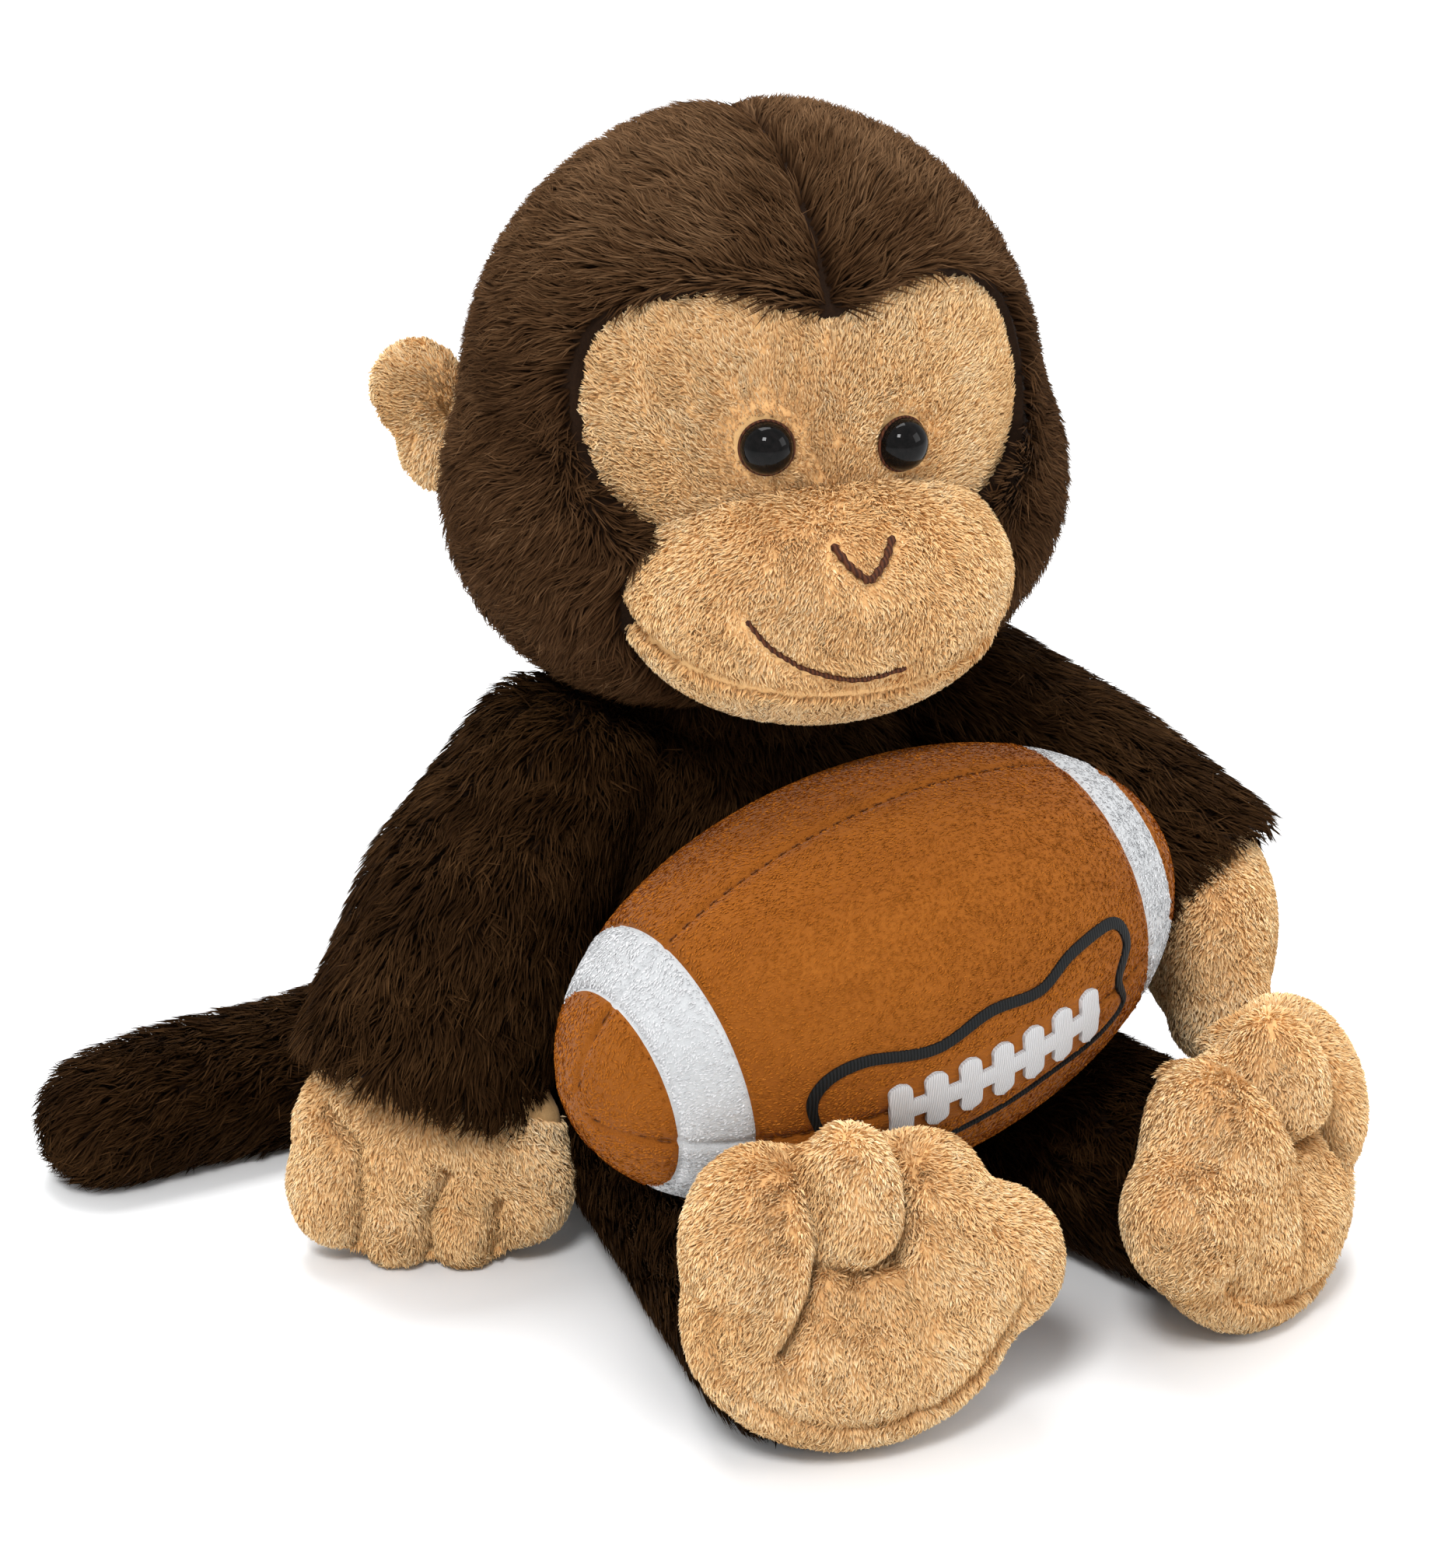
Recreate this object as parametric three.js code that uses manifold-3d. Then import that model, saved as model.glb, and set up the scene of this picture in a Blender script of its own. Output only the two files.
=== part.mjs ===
// A seated plush monkey that holds a plush football in its lap.
// Millimetres, +Z up. The monkey faces -Y, its right side is -X, and the middle of its seat is the origin.
// Each cloth panel is a shell as thick as its pile, sewn edge to edge with the next over a stuffed core.
import * as THREE from "three";
import { mergeVertices } from "three/addons/utils/BufferGeometryUtils.js";
import Module from "manifold-3d";

const wasm = await Module();
wasm.setup();

// ---- Driving sizes ----
const GAP = 0.3; // between two pieces that touch
const LOOSE = 0.6; // between two pieces that move on each other
const LONG_PILE = 5; // brown cloth with its pile
const SHORT_PILE = 2.6; // tan cloth and the ball's cloth

const TORSO_HEIGHT = 97;
const TORSO_RADIUS = 48; // at its widest, low down
const TORSO_DEPTH = 0.9; // front to back, as a share of the width
const SEAT_RADIUS = 34; // the flat that it sits on
const SEAT_PANEL_HEIGHT = 6;
const PELLET_BAG = { y: TORSO_RADIUS * 0.36, z: 17, size: [TORSO_RADIUS * 0.52, TORSO_RADIUS * 0.25, 9] };

const NECK_RADIUS = 20;
const NECK_BORE = 11;
const NECK_Y = -8; // the head sits a little forward
const NECK_RISE = 3; // from the top of the torso to the middle of the neck
const HEAD_RADIUS = 52;
const HEAD_RISE = 6; // from the top of the torso to the round of the head
const HEAD_TURN = -15; // degrees, towards its right
const CHEEK = {
  out: HEAD_RADIUS * 0.308,
  y: -HEAD_RADIUS * 0.038,
  z: -HEAD_RADIUS * 0.25,
  size: [HEAD_RADIUS * 0.77, HEAD_RADIUS * 0.808, HEAD_RADIUS * 0.673],
};
const HEAD_BACK_SEAM = 15;

const FACE_RADIUS = HEAD_RADIUS - 2.4; // the face is sunk below the pile round it
const MUZZLE = {
  y: -HEAD_RADIUS * 0.692,
  z: -HEAD_RADIUS * 0.48,
  size: [HEAD_RADIUS * 0.711, HEAD_RADIUS * 0.596, HEAD_RADIUS * 0.48],
};
const LIP = { y: MUZZLE.y, z: MUZZLE.z - 3, tilt: 18 }; // the seam between muzzle and chin

const EYE = { out: HEAD_RADIUS * 0.248, up: HEAD_RADIUS * 0.087, radius: 5.25, height: 4.2, steps: 4 };
const SHANK = { radius: 1.6, length: 9, room: 2 };
const WASHER = { radius: 5.5, thickness: 1.2, behind: 3.5, room: 6 };
const THREAD = 0.9; // radius of the stitched nose and mouth

const EAR = { back: 30, z: -HEAD_RADIUS * 0.15, size: [8.5, 5, 15], root: 3 };

const SHOULDER = { z: 89, y: -5, radius: 17, out: 11 };
const ELBOW_RADIUS = 20.5;
const CUFF_RADIUS = 21.5;
const ARMS = {
  right: { side: -1, elbow: [-55, -6, 66], cuff: [-73, -9, 39], paw: [-74, -12, 24], turn: -33 },
  left: { side: 1, elbow: [62, -26, 67], cuff: [74, -48, 51], paw: [76, -53, 45], turn: 57 },
};
const PAW = { size: [25, 14, 24], finger: [9, 9, 11], spread: 15, down: 12 };

const LEG_RADIUS = 20;
const ANKLE_RADIUS = 18;
const HIP = { out: 28, y: -15, swing: 60 }; // the legs swing down by this many degrees
const LEGS = {
  right: { side: -1, ankle: [-52, -101], foot: [-45.5, -108, 30.5], turn: -14 },
  left: { side: 1, ankle: [39, -98], foot: [41, -108, 28], turn: 24 },
};
const FOOT = { size: [33, 16, 28], lean: 18, seam: 2 };
const TOES = { places: [-19, 0, 19], size: [11, 11, 14], rise: 17, front: 5 };

const TAIL = { root: 16.5, tip: 12.5, length: 103, x: -8, behind: 6, drift: 1, seam: -1 };

const BALL_LENGTH = 127;
const BALL_RADIUS = 36.5;
const BALL = { x: -12, z: 63, tilt: -10, laces: -10, sunk: 9 };
const BAND = { from: 43, to: 54 };
const LACES = { centre: 2, length: 46, bar: 3.4, count: 7, tie: 11, tieWidth: 4.2 };
const BORDER_WIDTH = 2;
const STITCH_HEIGHT = 1.3;
const LAP_CLEARANCE = GAP + STITCH_HEIGHT + LOOSE;
const BALL_WAY = { towards: [0.695, -0.434, 0.574], steps: [6, 14, 22, 30, 38, 46, 54] }; // out of the lap

const AROUND = 12; // facets round a large piece
const RISE = 8; // facets from pole to pole of a large piece
const SMALL_AROUND = 10;
const SMALL_RISE = 6;
const LOBE_AROUND = 8; // a finger or a toe
const LOBE_RISE = 4;
const LIMB_STEPS = 3; // in each round end of a limb
const SLOT_STEPS = 6; // in the round end of the slot that a leg swings in
const FAR = 400; // reaches past the whole toy

const COLOURS = {
  brownPile: [0x3a2a1e, 0.95],
  tanPile: [0xc99a62, 0.95],
  stuffing: [0xf1efe8, 1],
  pellets: [0xd8d8d0, 0.8],
  blackGloss: [0x080808, 0.1],
  clearPlastic: [0xe6e6e6, 0.4],
  brownThread: [0x5a2d1c, 0.6],
  blackThread: [0x1e201e, 0.6],
  whiteThread: [0xeeeeee, 0.6],
  ballPile: [0xb2681f, 0.9],
  whitePile: [0xe8e8e8, 0.9],
};

// ---- Solids ----
const radians = THREE.MathUtils.degToRad;

function solid(geometry) {
  const bare = geometry.clone();
  bare.deleteAttribute("normal");
  bare.deleteAttribute("uv");
  const merged = mergeVertices(bare, 1e-4);
  const mesh = new wasm.Mesh({
    numProp: 3,
    vertProperties: new Float32Array(merged.attributes.position.array),
    triVerts: new Uint32Array(merged.index.array),
  });
  return new wasm.Manifold(mesh);
}

function geometryOf(manifold) {
  const mesh = manifold.getMesh();
  const geometry = new THREE.BufferGeometry();
  geometry.setAttribute("position", new THREE.BufferAttribute(mesh.vertProperties, 3));
  geometry.setIndex(new THREE.BufferAttribute(mesh.triVerts, 1));
  geometry.computeVertexNormals();
  return geometry;
}

const joined = (...solids) => solids.reduce((whole, piece) => whole.add(piece));

function ellipsoidGeometry(size, around = AROUND, rise = RISE) {
  return new THREE.SphereGeometry(1, around, rise).rotateX(Math.PI / 2).scale(...size);
}

function ellipsoid(at, size, around, rise) {
  return solid(ellipsoidGeometry(size, around, rise).translate(...at));
}

const grown = (size, by) => size.map((radius) => radius + by);

// A box from low to high along one axis, and past the whole toy along the others.
function slab(axis, low, high) {
  const size = [FAR, FAR, FAR];
  const centre = [0, 0, 0];
  size["xyz".indexOf(axis)] = high - low;
  centre["xyz".indexOf(axis)] = (low + high) / 2;
  return new THREE.BoxGeometry(...size).translate(...centre);
}

const below = (axis, at) => solid(slab(axis, at - FAR, at));
const above = (axis, at) => solid(slab(axis, at, at + FAR));

// A limb's stretch: two balls and the cone between them, as one turned solid.
function stretch(start, startRadius, end, endRadius, around) {
  const from = new THREE.Vector3(...start);
  const along = new THREE.Vector3(...end).sub(from);
  const length = along.length();
  const lean = Math.asin((startRadius - endRadius) / length);
  const outline = [];
  for (let i = 0; i <= LIMB_STEPS; i++) {
    const angle = -Math.PI / 2 + (lean + Math.PI / 2) * (i / LIMB_STEPS);
    outline.push(new THREE.Vector2(startRadius * Math.cos(angle), startRadius * Math.sin(angle)));
  }
  for (let i = 0; i <= LIMB_STEPS; i++) {
    const angle = lean + (Math.PI / 2 - lean) * (i / LIMB_STEPS);
    outline.push(new THREE.Vector2(endRadius * Math.cos(angle), length + endRadius * Math.sin(angle)));
  }
  outline[0].x = 0;
  outline[outline.length - 1].x = 0;
  const turned = new THREE.LatheGeometry(outline, around);
  const upright = new THREE.Vector3(0, 1, 0);
  turned.applyQuaternion(new THREE.Quaternion().setFromUnitVectors(upright, along.normalize()));
  return solid(turned.translate(...start));
}

// A limb through several places, each with its own radius.
function limb(places, by = 0, around = SMALL_AROUND) {
  const stretches = [];
  for (let i = 0; i + 1 < places.length; i++) {
    const [from, to] = [places[i], places[i + 1]];
    stretches.push(stretch(from.at, from.radius + by, to.at, to.radius + by, around));
  }
  return joined(...stretches);
}

// How much further than its flats a round's corners reach, with this many facets round and from pole to pole.
const cornerReach = (around, rise) => 1 / (Math.cos(Math.PI / around) * Math.cos(Math.PI / (2 * rise)));

// The room round a limb that turns about its first place: its flats clear the limb's corners.
function limbRoom(places) {
  const clear = cornerReach(SMALL_AROUND, 2 * LIMB_STEPS);
  return limb(places.map(({ at, radius }) => ({ at, radius: radius * clear + LOOSE })));
}

// All that lies behind a place, as seen along a direction.
function behind(at, direction) {
  const box = slab("y", -FAR, 0);
  const turn = new THREE.Quaternion().setFromUnitVectors(new THREE.Vector3(0, 1, 0), direction);
  return solid(box.applyQuaternion(turn).translate(...at));
}

// The largest body of a solid, without the slivers that crossing cuts leave.
function main(manifold) {
  return manifold.decompose().reduce((most, body) => (body.volume() > most.volume() ? body : most));
}

// ---- The scene graph ----
const monkey = new THREE.Group();

function group(parent, at, turn = [0, 0, 0]) {
  const made = new THREE.Group();
  made.position.set(...at);
  made.rotation.set(...turn.map(radians), "ZYX");
  parent.add(made);
  made.updateWorldMatrix(true, false);
  return made;
}

function piece(parent, name, manifold, colour) {
  const [color, roughness] = COLOURS[colour];
  const material = new THREE.MeshStandardMaterial({ color, roughness, metalness: 0 });
  const mesh = new THREE.Mesh(geometryOf(main(manifold)), material);
  mesh.name = name;
  parent.add(mesh);
}

// A limb's places in a group's own frame.
function placesIn(frame, places) {
  return places.map(({ at, radius }) => {
    const local = frame.worldToLocal(new THREE.Vector3(...at));
    return { at: local.toArray(), radius };
  });
}

// A solid made in one group's frame, as seen from another's.
function seenFrom(viewer, owner, geometry) {
  const across = viewer.matrixWorld.clone().invert().multiply(owner.matrixWorld);
  return solid(geometry.clone().applyMatrix4(across));
}

// A closed coat cut into two panels by a seam, each with its own name and side of the seam.
function seamed(parent, coat, axis, seam, names, colour) {
  piece(parent, names[0], coat.intersect(below(axis, seam - GAP / 2)), colour);
  piece(parent, names[1], coat.intersect(above(axis, seam + GAP / 2)), colour);
}

// ---- Torso outline ----
function torsoOutline(inset = 0) {
  const middle = [
    [SEAT_RADIUS, 0],
    [TORSO_RADIUS * 0.94, TORSO_HEIGHT * 0.1],
    [TORSO_RADIUS, TORSO_HEIGHT * 0.27],
    [TORSO_RADIUS * 0.92, TORSO_HEIGHT * 0.57],
    [TORSO_RADIUS * 0.77, TORSO_HEIGHT * 0.82],
    [NECK_RADIUS * 1.15, TORSO_HEIGHT],
  ];
  const shrink = (TORSO_HEIGHT - 2 * inset) / TORSO_HEIGHT;
  const bulge = new THREE.SplineCurve(
    middle.map(([radius, z]) => new THREE.Vector2(radius - inset, inset + z * shrink)),
  ).getPoints(RISE);
  return [new THREE.Vector2(0, inset), ...bulge, new THREE.Vector2(0, inset + TORSO_HEIGHT * shrink)];
}

function torsoRadiusAt(height) {
  const outline = torsoOutline();
  const top = outline.findIndex((point, i) => i > 1 && point.y >= height);
  const [low, high] = [outline[top - 1], outline[top]];
  return THREE.MathUtils.mapLinear(height, low.y, high.y, low.x, high.x);
}

function torsoSolid(inset) {
  const turned = new THREE.LatheGeometry(torsoOutline(inset), AROUND);
  return solid(turned.rotateX(Math.PI / 2).scale(1, TORSO_DEPTH, 1));
}

// ---- Where each group stands ----
const neckPivot = [0, NECK_Y, TORSO_HEIGHT + NECK_RISE];
const head = group(monkey, [0, NECK_Y, TORSO_HEIGHT + HEAD_RISE + HEAD_RADIUS], [0, 0, HEAD_TURN]);
const ballBack = -torsoRadiusAt(BALL.z) * TORSO_DEPTH + BALL.sunk;
const ball = group(monkey, [BALL.x, ballBack - BALL_RADIUS, BALL.z], [-BALL.laces, BALL.tilt, 0]);

function ballGeometry(by) {
  const size = grown([BALL_RADIUS, BALL_RADIUS, BALL_LENGTH / 2], by);
  return ellipsoidGeometry(size, AROUND + 2, RISE + 1).rotateY(Math.PI / 2);
}

// The room that the lap leaves for the ball.
const lapRoom = (viewer) => seenFrom(viewer, ball, ballGeometry(LAP_CLEARANCE));

// The same room and the ball's way out of it, for the pieces that the ball passes closely.
function wayRoom(viewer) {
  const toViewer = viewer.matrixWorld.clone().invert();
  const rooms = BALL_WAY.steps.map((step) => {
    const passing = ballGeometry(STITCH_HEIGHT + LOOSE).applyMatrix4(ball.matrixWorld);
    passing.translate(...BALL_WAY.towards.map((share) => share * step));
    return solid(passing.applyMatrix4(toViewer));
  });
  return joined(lapRoom(viewer), ...rooms);
}

function armPlaces(arm) {
  const out = torsoRadiusAt(SHOULDER.z) + SHOULDER.out;
  return [
    { at: [arm.side * out, SHOULDER.y, SHOULDER.z], radius: SHOULDER.radius },
    { at: arm.elbow, radius: ELBOW_RADIUS },
    { at: arm.cuff, radius: CUFF_RADIUS },
  ];
}

function legPlaces(leg) {
  return [
    { at: [leg.side * HIP.out, HIP.y, LEG_RADIUS], radius: LEG_RADIUS },
    { at: [...leg.ankle, ANKLE_RADIUS], radius: ANKLE_RADIUS },
  ];
}

function tailPlaces() {
  const back = torsoRadiusAt(TAIL.root) * TORSO_DEPTH + TAIL.behind;
  return [
    { at: [TAIL.x, back, TAIL.root], radius: TAIL.root },
    { at: [TAIL.x - TAIL.length, back + TAIL.drift, TAIL.tip], radius: TAIL.tip },
  ];
}

// ---- Torso and neck ----
// The slot that a leg needs in the torso as it swings down, seen from the side.
function legRoom(leg) {
  const [hip] = legPlaces(leg);
  const radius = hip.radius / Math.cos(Math.PI / SMALL_AROUND) + LOOSE;
  const swung = radians(HIP.swing);
  const along = [-Math.cos(swung) * TORSO_RADIUS, -Math.sin(swung) * TORSO_RADIUS];
  const across = [Math.sin(swung) * radius, -Math.cos(swung) * radius];
  const side = new THREE.Shape();
  side.moveTo(-TORSO_RADIUS, radius);
  side.lineTo(-TORSO_RADIUS, -TORSO_RADIUS - radius);
  side.lineTo(along[0] + across[0], along[1] + across[1] - radius);
  side.absarc(0, 0, radius, swung - Math.PI / 2, Math.PI / 2);
  const options = { depth: 2 * radius, bevelEnabled: false, curveSegments: SLOT_STEPS };
  const slot = new THREE.ExtrudeGeometry(side, options).translate(0, 0, -radius);
  return solid(slot.rotateY(Math.PI / 2).rotateX(Math.PI / 2).translate(...hip.at));
}

function makeTorso() {
  const neckRoom = NECK_RADIUS * cornerReach(AROUND, RISE) + LOOSE;
  const room = joined(
    limbRoom(armPlaces(ARMS.right)),
    limbRoom(armPlaces(ARMS.left)),
    legRoom(LEGS.right),
    legRoom(LEGS.left),
    limbRoom(tailPlaces()),
    lapRoom(monkey),
    ellipsoid(neckPivot, [neckRoom, neckRoom, neckRoom]),
  );
  const coat = torsoSolid(0).subtract(torsoSolid(LONG_PILE)).subtract(room);
  const cover = coat.intersect(above("z", SEAT_PANEL_HEIGHT + GAP));
  seamed(monkey, cover, "y", 0, ["torso_front", "torso_back"], "brownPile");
  piece(monkey, "seat_panel", coat.intersect(below("z", SEAT_PANEL_HEIGHT)), "brownPile");
  const { y, z, size } = PELLET_BAG;
  piece(monkey, "pellet_bag", ellipsoid([0, y, z], size, SMALL_AROUND, SMALL_RISE), "pellets");
  const pocket = ellipsoid([0, y, z], grown(size, GAP), SMALL_AROUND, SMALL_RISE);
  const core = torsoSolid(LONG_PILE + GAP).subtract(room).subtract(pocket).subtract(bagMouth());
  piece(monkey, "torso_stuffing", core, "stuffing");
}

// The slit under the stuffing that the pellet bag went in by.
function bagMouth() {
  const radius = PELLET_BAG.size[1] / 2;
  const slit = new THREE.CylinderGeometry(radius, radius, 2 * PELLET_BAG.z, LOBE_AROUND);
  return solid(slit.rotateX(Math.PI / 2).translate(0, PELLET_BAG.y, 0));
}

function makeNeck() {
  const knuckle = ellipsoid(neckPivot, [NECK_RADIUS, NECK_RADIUS, NECK_RADIUS]);
  const bore = new THREE.CylinderGeometry(NECK_BORE, NECK_BORE, FAR, SMALL_AROUND).rotateX(Math.PI / 2);
  const headRoom = HEAD_RADIUS + 2 * LOOSE;
  const ring = knuckle
    .subtract(solid(bore.translate(neckPivot[0], neckPivot[1], 0)))
    .subtract(ellipsoid(head.position.toArray(), [headRoom, headRoom, headRoom]))
    .intersect(above("z", neckPivot[2] - NECK_RADIUS / 2));
  piece(monkey, "neck_seam_ring", ring, "brownPile");
}

// ---- Head ----
function headSolid(by) {
  const cheeks = [-1, 1].map((side) =>
    ellipsoid([side * CHEEK.out, CHEEK.y, CHEEK.z], grown(CHEEK.size, by)),
  );
  return joined(ellipsoid([0, 0, 0], [1, 1, 1].map(() => HEAD_RADIUS + by)), ...cheeks);
}

const muzzleSolid = (by) => ellipsoid([0, MUZZLE.y, MUZZLE.z], grown(MUZZLE.size, by));

// Half of the face patch from the front: a dip, a lobe over the eye, a pinch at the side.
const FACE_HALF = [[0, 0.51], [0.385, 0.585], [0.71, 0.45], [0.81, 0.13], [0.675, -0.2], [0, -0.42]]
  .map(([across, up]) => [across * HEAD_RADIUS, up * HEAD_RADIUS]);

// The face patch from the front, grown by an edge.
function faceCutter(edge) {
  const otherHalf = FACE_HALF.slice(1, -1).reverse().map(([x, z]) => [-x, z]);
  const round = [...FACE_HALF, ...otherHalf];
  const outline = new THREE.CatmullRomCurve3(
    round.map(([x, z]) => new THREE.Vector3(x, z, 0).setLength(Math.hypot(x, z) + edge)),
    true,
  ).getPoints(AROUND + SMALL_AROUND);
  const shape = new THREE.Shape(outline.slice(0, -1).map(({ x, y }) => new THREE.Vector2(x, y)));
  return solid(new THREE.ExtrudeGeometry(shape, { depth: FAR, bevelEnabled: false }).rotateX(Math.PI / 2));
}

function tube(points, radius, steps) {
  const circle = new THREE.Shape().absarc(0, 0, radius, 0, 2 * Math.PI);
  return new THREE.ExtrudeGeometry(circle, {
    extrudePath: new THREE.CatmullRomCurve3(points),
    steps,
    curveSegments: 3,
    bevelEnabled: false,
  });
}

// A line of stitches through places given across and up the muzzle.
function stitches(places, by, steps) {
  const [wide, deep, tall] = MUZZLE.size;
  const onMuzzle = places.map(([x, z]) => {
    const share = 1 - (x / wide) ** 2 - ((z - MUZZLE.z) / tall) ** 2;
    return new THREE.Vector3(x, MUZZLE.y - deep * Math.sqrt(share), z);
  });
  return solid(tube(onMuzzle, THREAD + by, steps));
}

const NOSE_STROKES = [
  [[-6, -9.5], [-3.4, -12.4], [-0.3, -15.6]],
  [[6, -9.5], [3.4, -12.4], [0.3, -15.6]],
];
const MOUTH_STROKE = [[-21, -22], [-13, -29.5], [-2, -33], [7, -31.5]];

const noseThread = (by) => joined(...NOSE_STROKES.map((stroke) => stitches(stroke, by, 4)));
const mouthThread = (by) => stitches(MOUTH_STROKE, by, 8);

function eyeDome() {
  const { radius, height } = EYE;
  const outline = [new THREE.Vector2(0, -SHANK.length), new THREE.Vector2(SHANK.radius, -SHANK.length)];
  outline.push(new THREE.Vector2(SHANK.radius, 0), new THREE.Vector2(radius, 0));
  for (let i = 1; i <= EYE.steps; i++) {
    const angle = (Math.PI / 2 / EYE.steps) * i;
    outline.push(new THREE.Vector2(radius * Math.cos(angle), height * Math.sin(angle)));
  }
  outline[outline.length - 1].x = 0;
  return new THREE.LatheGeometry(outline, SMALL_AROUND);
}

function ringGeometry(inner, outer, low, high) {
  const corners = [[inner, low], [outer, low], [outer, high], [inner, high], [inner, low]];
  return new THREE.LatheGeometry(corners.map(([x, y]) => new THREE.Vector2(x, y)), SMALL_AROUND);
}

const washerTop = -GAP - SHORT_PILE - WASHER.behind;
const washerBottom = washerTop - WASHER.thickness;

// The hole through the face for an eye's shank, past it at both ends.
function shankHole() {
  const radius = SHANK.radius + LOOSE;
  const long = SHANK.length + 2 * SHANK.room;
  return new THREE.CylinderGeometry(radius, radius, long, SMALL_AROUND).translate(0, -SHANK.length / 2, 0);
}

// The room in the stuffing for an eye's shank and its washer.
function eyeRoom() {
  const radius = WASHER.radius + GAP;
  const washer = new THREE.CylinderGeometry(radius, radius, WASHER.room, SMALL_AROUND);
  const middle = washerBottom - GAP + WASHER.room / 2;
  return joined(solid(shankHole()), solid(washer.translate(0, middle, 0)));
}

function eyeGroup(side) {
  const forward = -Math.sqrt(FACE_RADIUS ** 2 - EYE.out ** 2 - EYE.up ** 2);
  const outward = new THREE.Vector3(side * EYE.out, forward, EYE.up).normalize();
  const eye = group(head, outward.clone().multiplyScalar(FACE_RADIUS + GAP).toArray());
  eye.quaternion.setFromUnitVectors(new THREE.Vector3(0, 1, 0), outward);
  eye.updateWorldMatrix(true, false);
  return eye;
}

function makeHead() {
  const eyes = { right: eyeGroup(-1), left: eyeGroup(1) };
  const holes = [];
  const rooms = [];
  for (const [side, eye] of Object.entries(eyes)) {
    piece(eye, `eye_${side}`, solid(eyeDome()), "blackGloss");
    const washer = ringGeometry(SHANK.radius + GAP, WASHER.radius, washerBottom, washerTop);
    piece(eye, `eye_washer_${side}`, solid(washer), "clearPlastic");
    holes.push(seenFrom(head, eye, shankHole()));
    rooms.push(seenFrom(head, eye, geometryOf(eyeRoom())));
  }
  const lap = lapRoom(head);
  const way = wayRoom(head);
  const coat = headSolid(0)
    .subtract(headSolid(-LONG_PILE))
    .subtract(faceCutter(GAP))
    .subtract(muzzleSolid(GAP))
    .subtract(lap);
  const front = coat.intersect(below("y", HEAD_BACK_SEAM - GAP / 2));
  seamed(head, front, "x", 0, ["head_right_panel", "head_left_panel"], "brownPile");
  const back = coat.intersect(above("y", HEAD_BACK_SEAM + GAP / 2));
  piece(head, "head_back_panel", back, "brownPile");

  const face = ellipsoid([0, 0, 0], [1, 1, 1].map(() => FACE_RADIUS))
    .subtract(ellipsoid([0, 0, 0], [1, 1, 1].map(() => FACE_RADIUS - SHORT_PILE)))
    .intersect(faceCutter(0))
    .subtract(muzzleSolid(GAP))
    .subtract(joined(...holes));
  piece(head, "face_patch", face, "tanPile");

  const thread = joined(noseThread(GAP), mouthThread(GAP));
  const muzzle = muzzleSolid(0)
    .subtract(muzzleSolid(-SHORT_PILE))
    .subtract(headSolid(GAP))
    .subtract(way);
  const lip = slab("z", 0, FAR)
    .translate(0, 0, GAP / 2)
    .rotateX(radians(LIP.tilt))
    .translate(0, LIP.y, LIP.z);
  const chin = slab("z", -FAR, 0)
    .translate(0, 0, -GAP / 2)
    .rotateX(radians(LIP.tilt))
    .translate(0, LIP.y, LIP.z);
  piece(head, "muzzle_panel", muzzle.intersect(solid(lip)).subtract(thread), "tanPile");
  piece(head, "chin_panel", muzzle.intersect(solid(chin)).subtract(thread), "tanPile");
  piece(head, "nose_stitching", noseThread(0), "brownThread");
  piece(head, "mouth_stitching", mouthThread(0), "brownThread");

  const faceBack = [1, 1, 1].map(() => FACE_RADIUS - SHORT_PILE - GAP);
  const core = headSolid(-LONG_PILE - GAP)
    .subtract(faceCutter(GAP).subtract(ellipsoid([0, 0, 0], faceBack)))
    .add(muzzleSolid(-SHORT_PILE - GAP))
    .subtract(thread)
    .subtract(way)
    .subtract(joined(...rooms));
  piece(head, "head_stuffing", core, "stuffing");
}

function makeEars() {
  for (const [name, side] of [["right", -1], ["left", 1]]) {
    const angle = side > 0 ? EAR.back : 180 - EAR.back;
    const reach = HEAD_RADIUS + LOOSE + EAR.root;
    const outward = new THREE.Vector3(Math.cos(radians(angle)), Math.sin(radians(angle)), 0);
    const ear = group(head, outward.multiplyScalar(reach).setZ(EAR.z).toArray(), [0, 0, angle]);
    const lobe = ellipsoid([EAR.size[0] - EAR.root, 0, 0], EAR.size, SMALL_AROUND, SMALL_RISE);
    const names = [`ear_${name}_back`, `ear_${name}_front`];
    if (side < 0) seamed(ear, lobe, "y", 0, names, "tanPile");
    else seamed(ear, lobe, "y", 0, names.reverse(), "tanPile");
  }
}

// ---- Arms ----
const palmSolid = (by) => ellipsoid([0, 0, 0], grown(PAW.size, by), SMALL_AROUND, SMALL_RISE);

function pawSolid() {
  const fingers = [-1, 0, 1].map((place) => {
    const at = [place * PAW.spread, 0, -PAW.down + Math.abs(place) * 2];
    return ellipsoid(at, PAW.finger, LOBE_AROUND, LOBE_RISE);
  });
  return joined(palmSolid(0), ...fingers);
}

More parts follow.
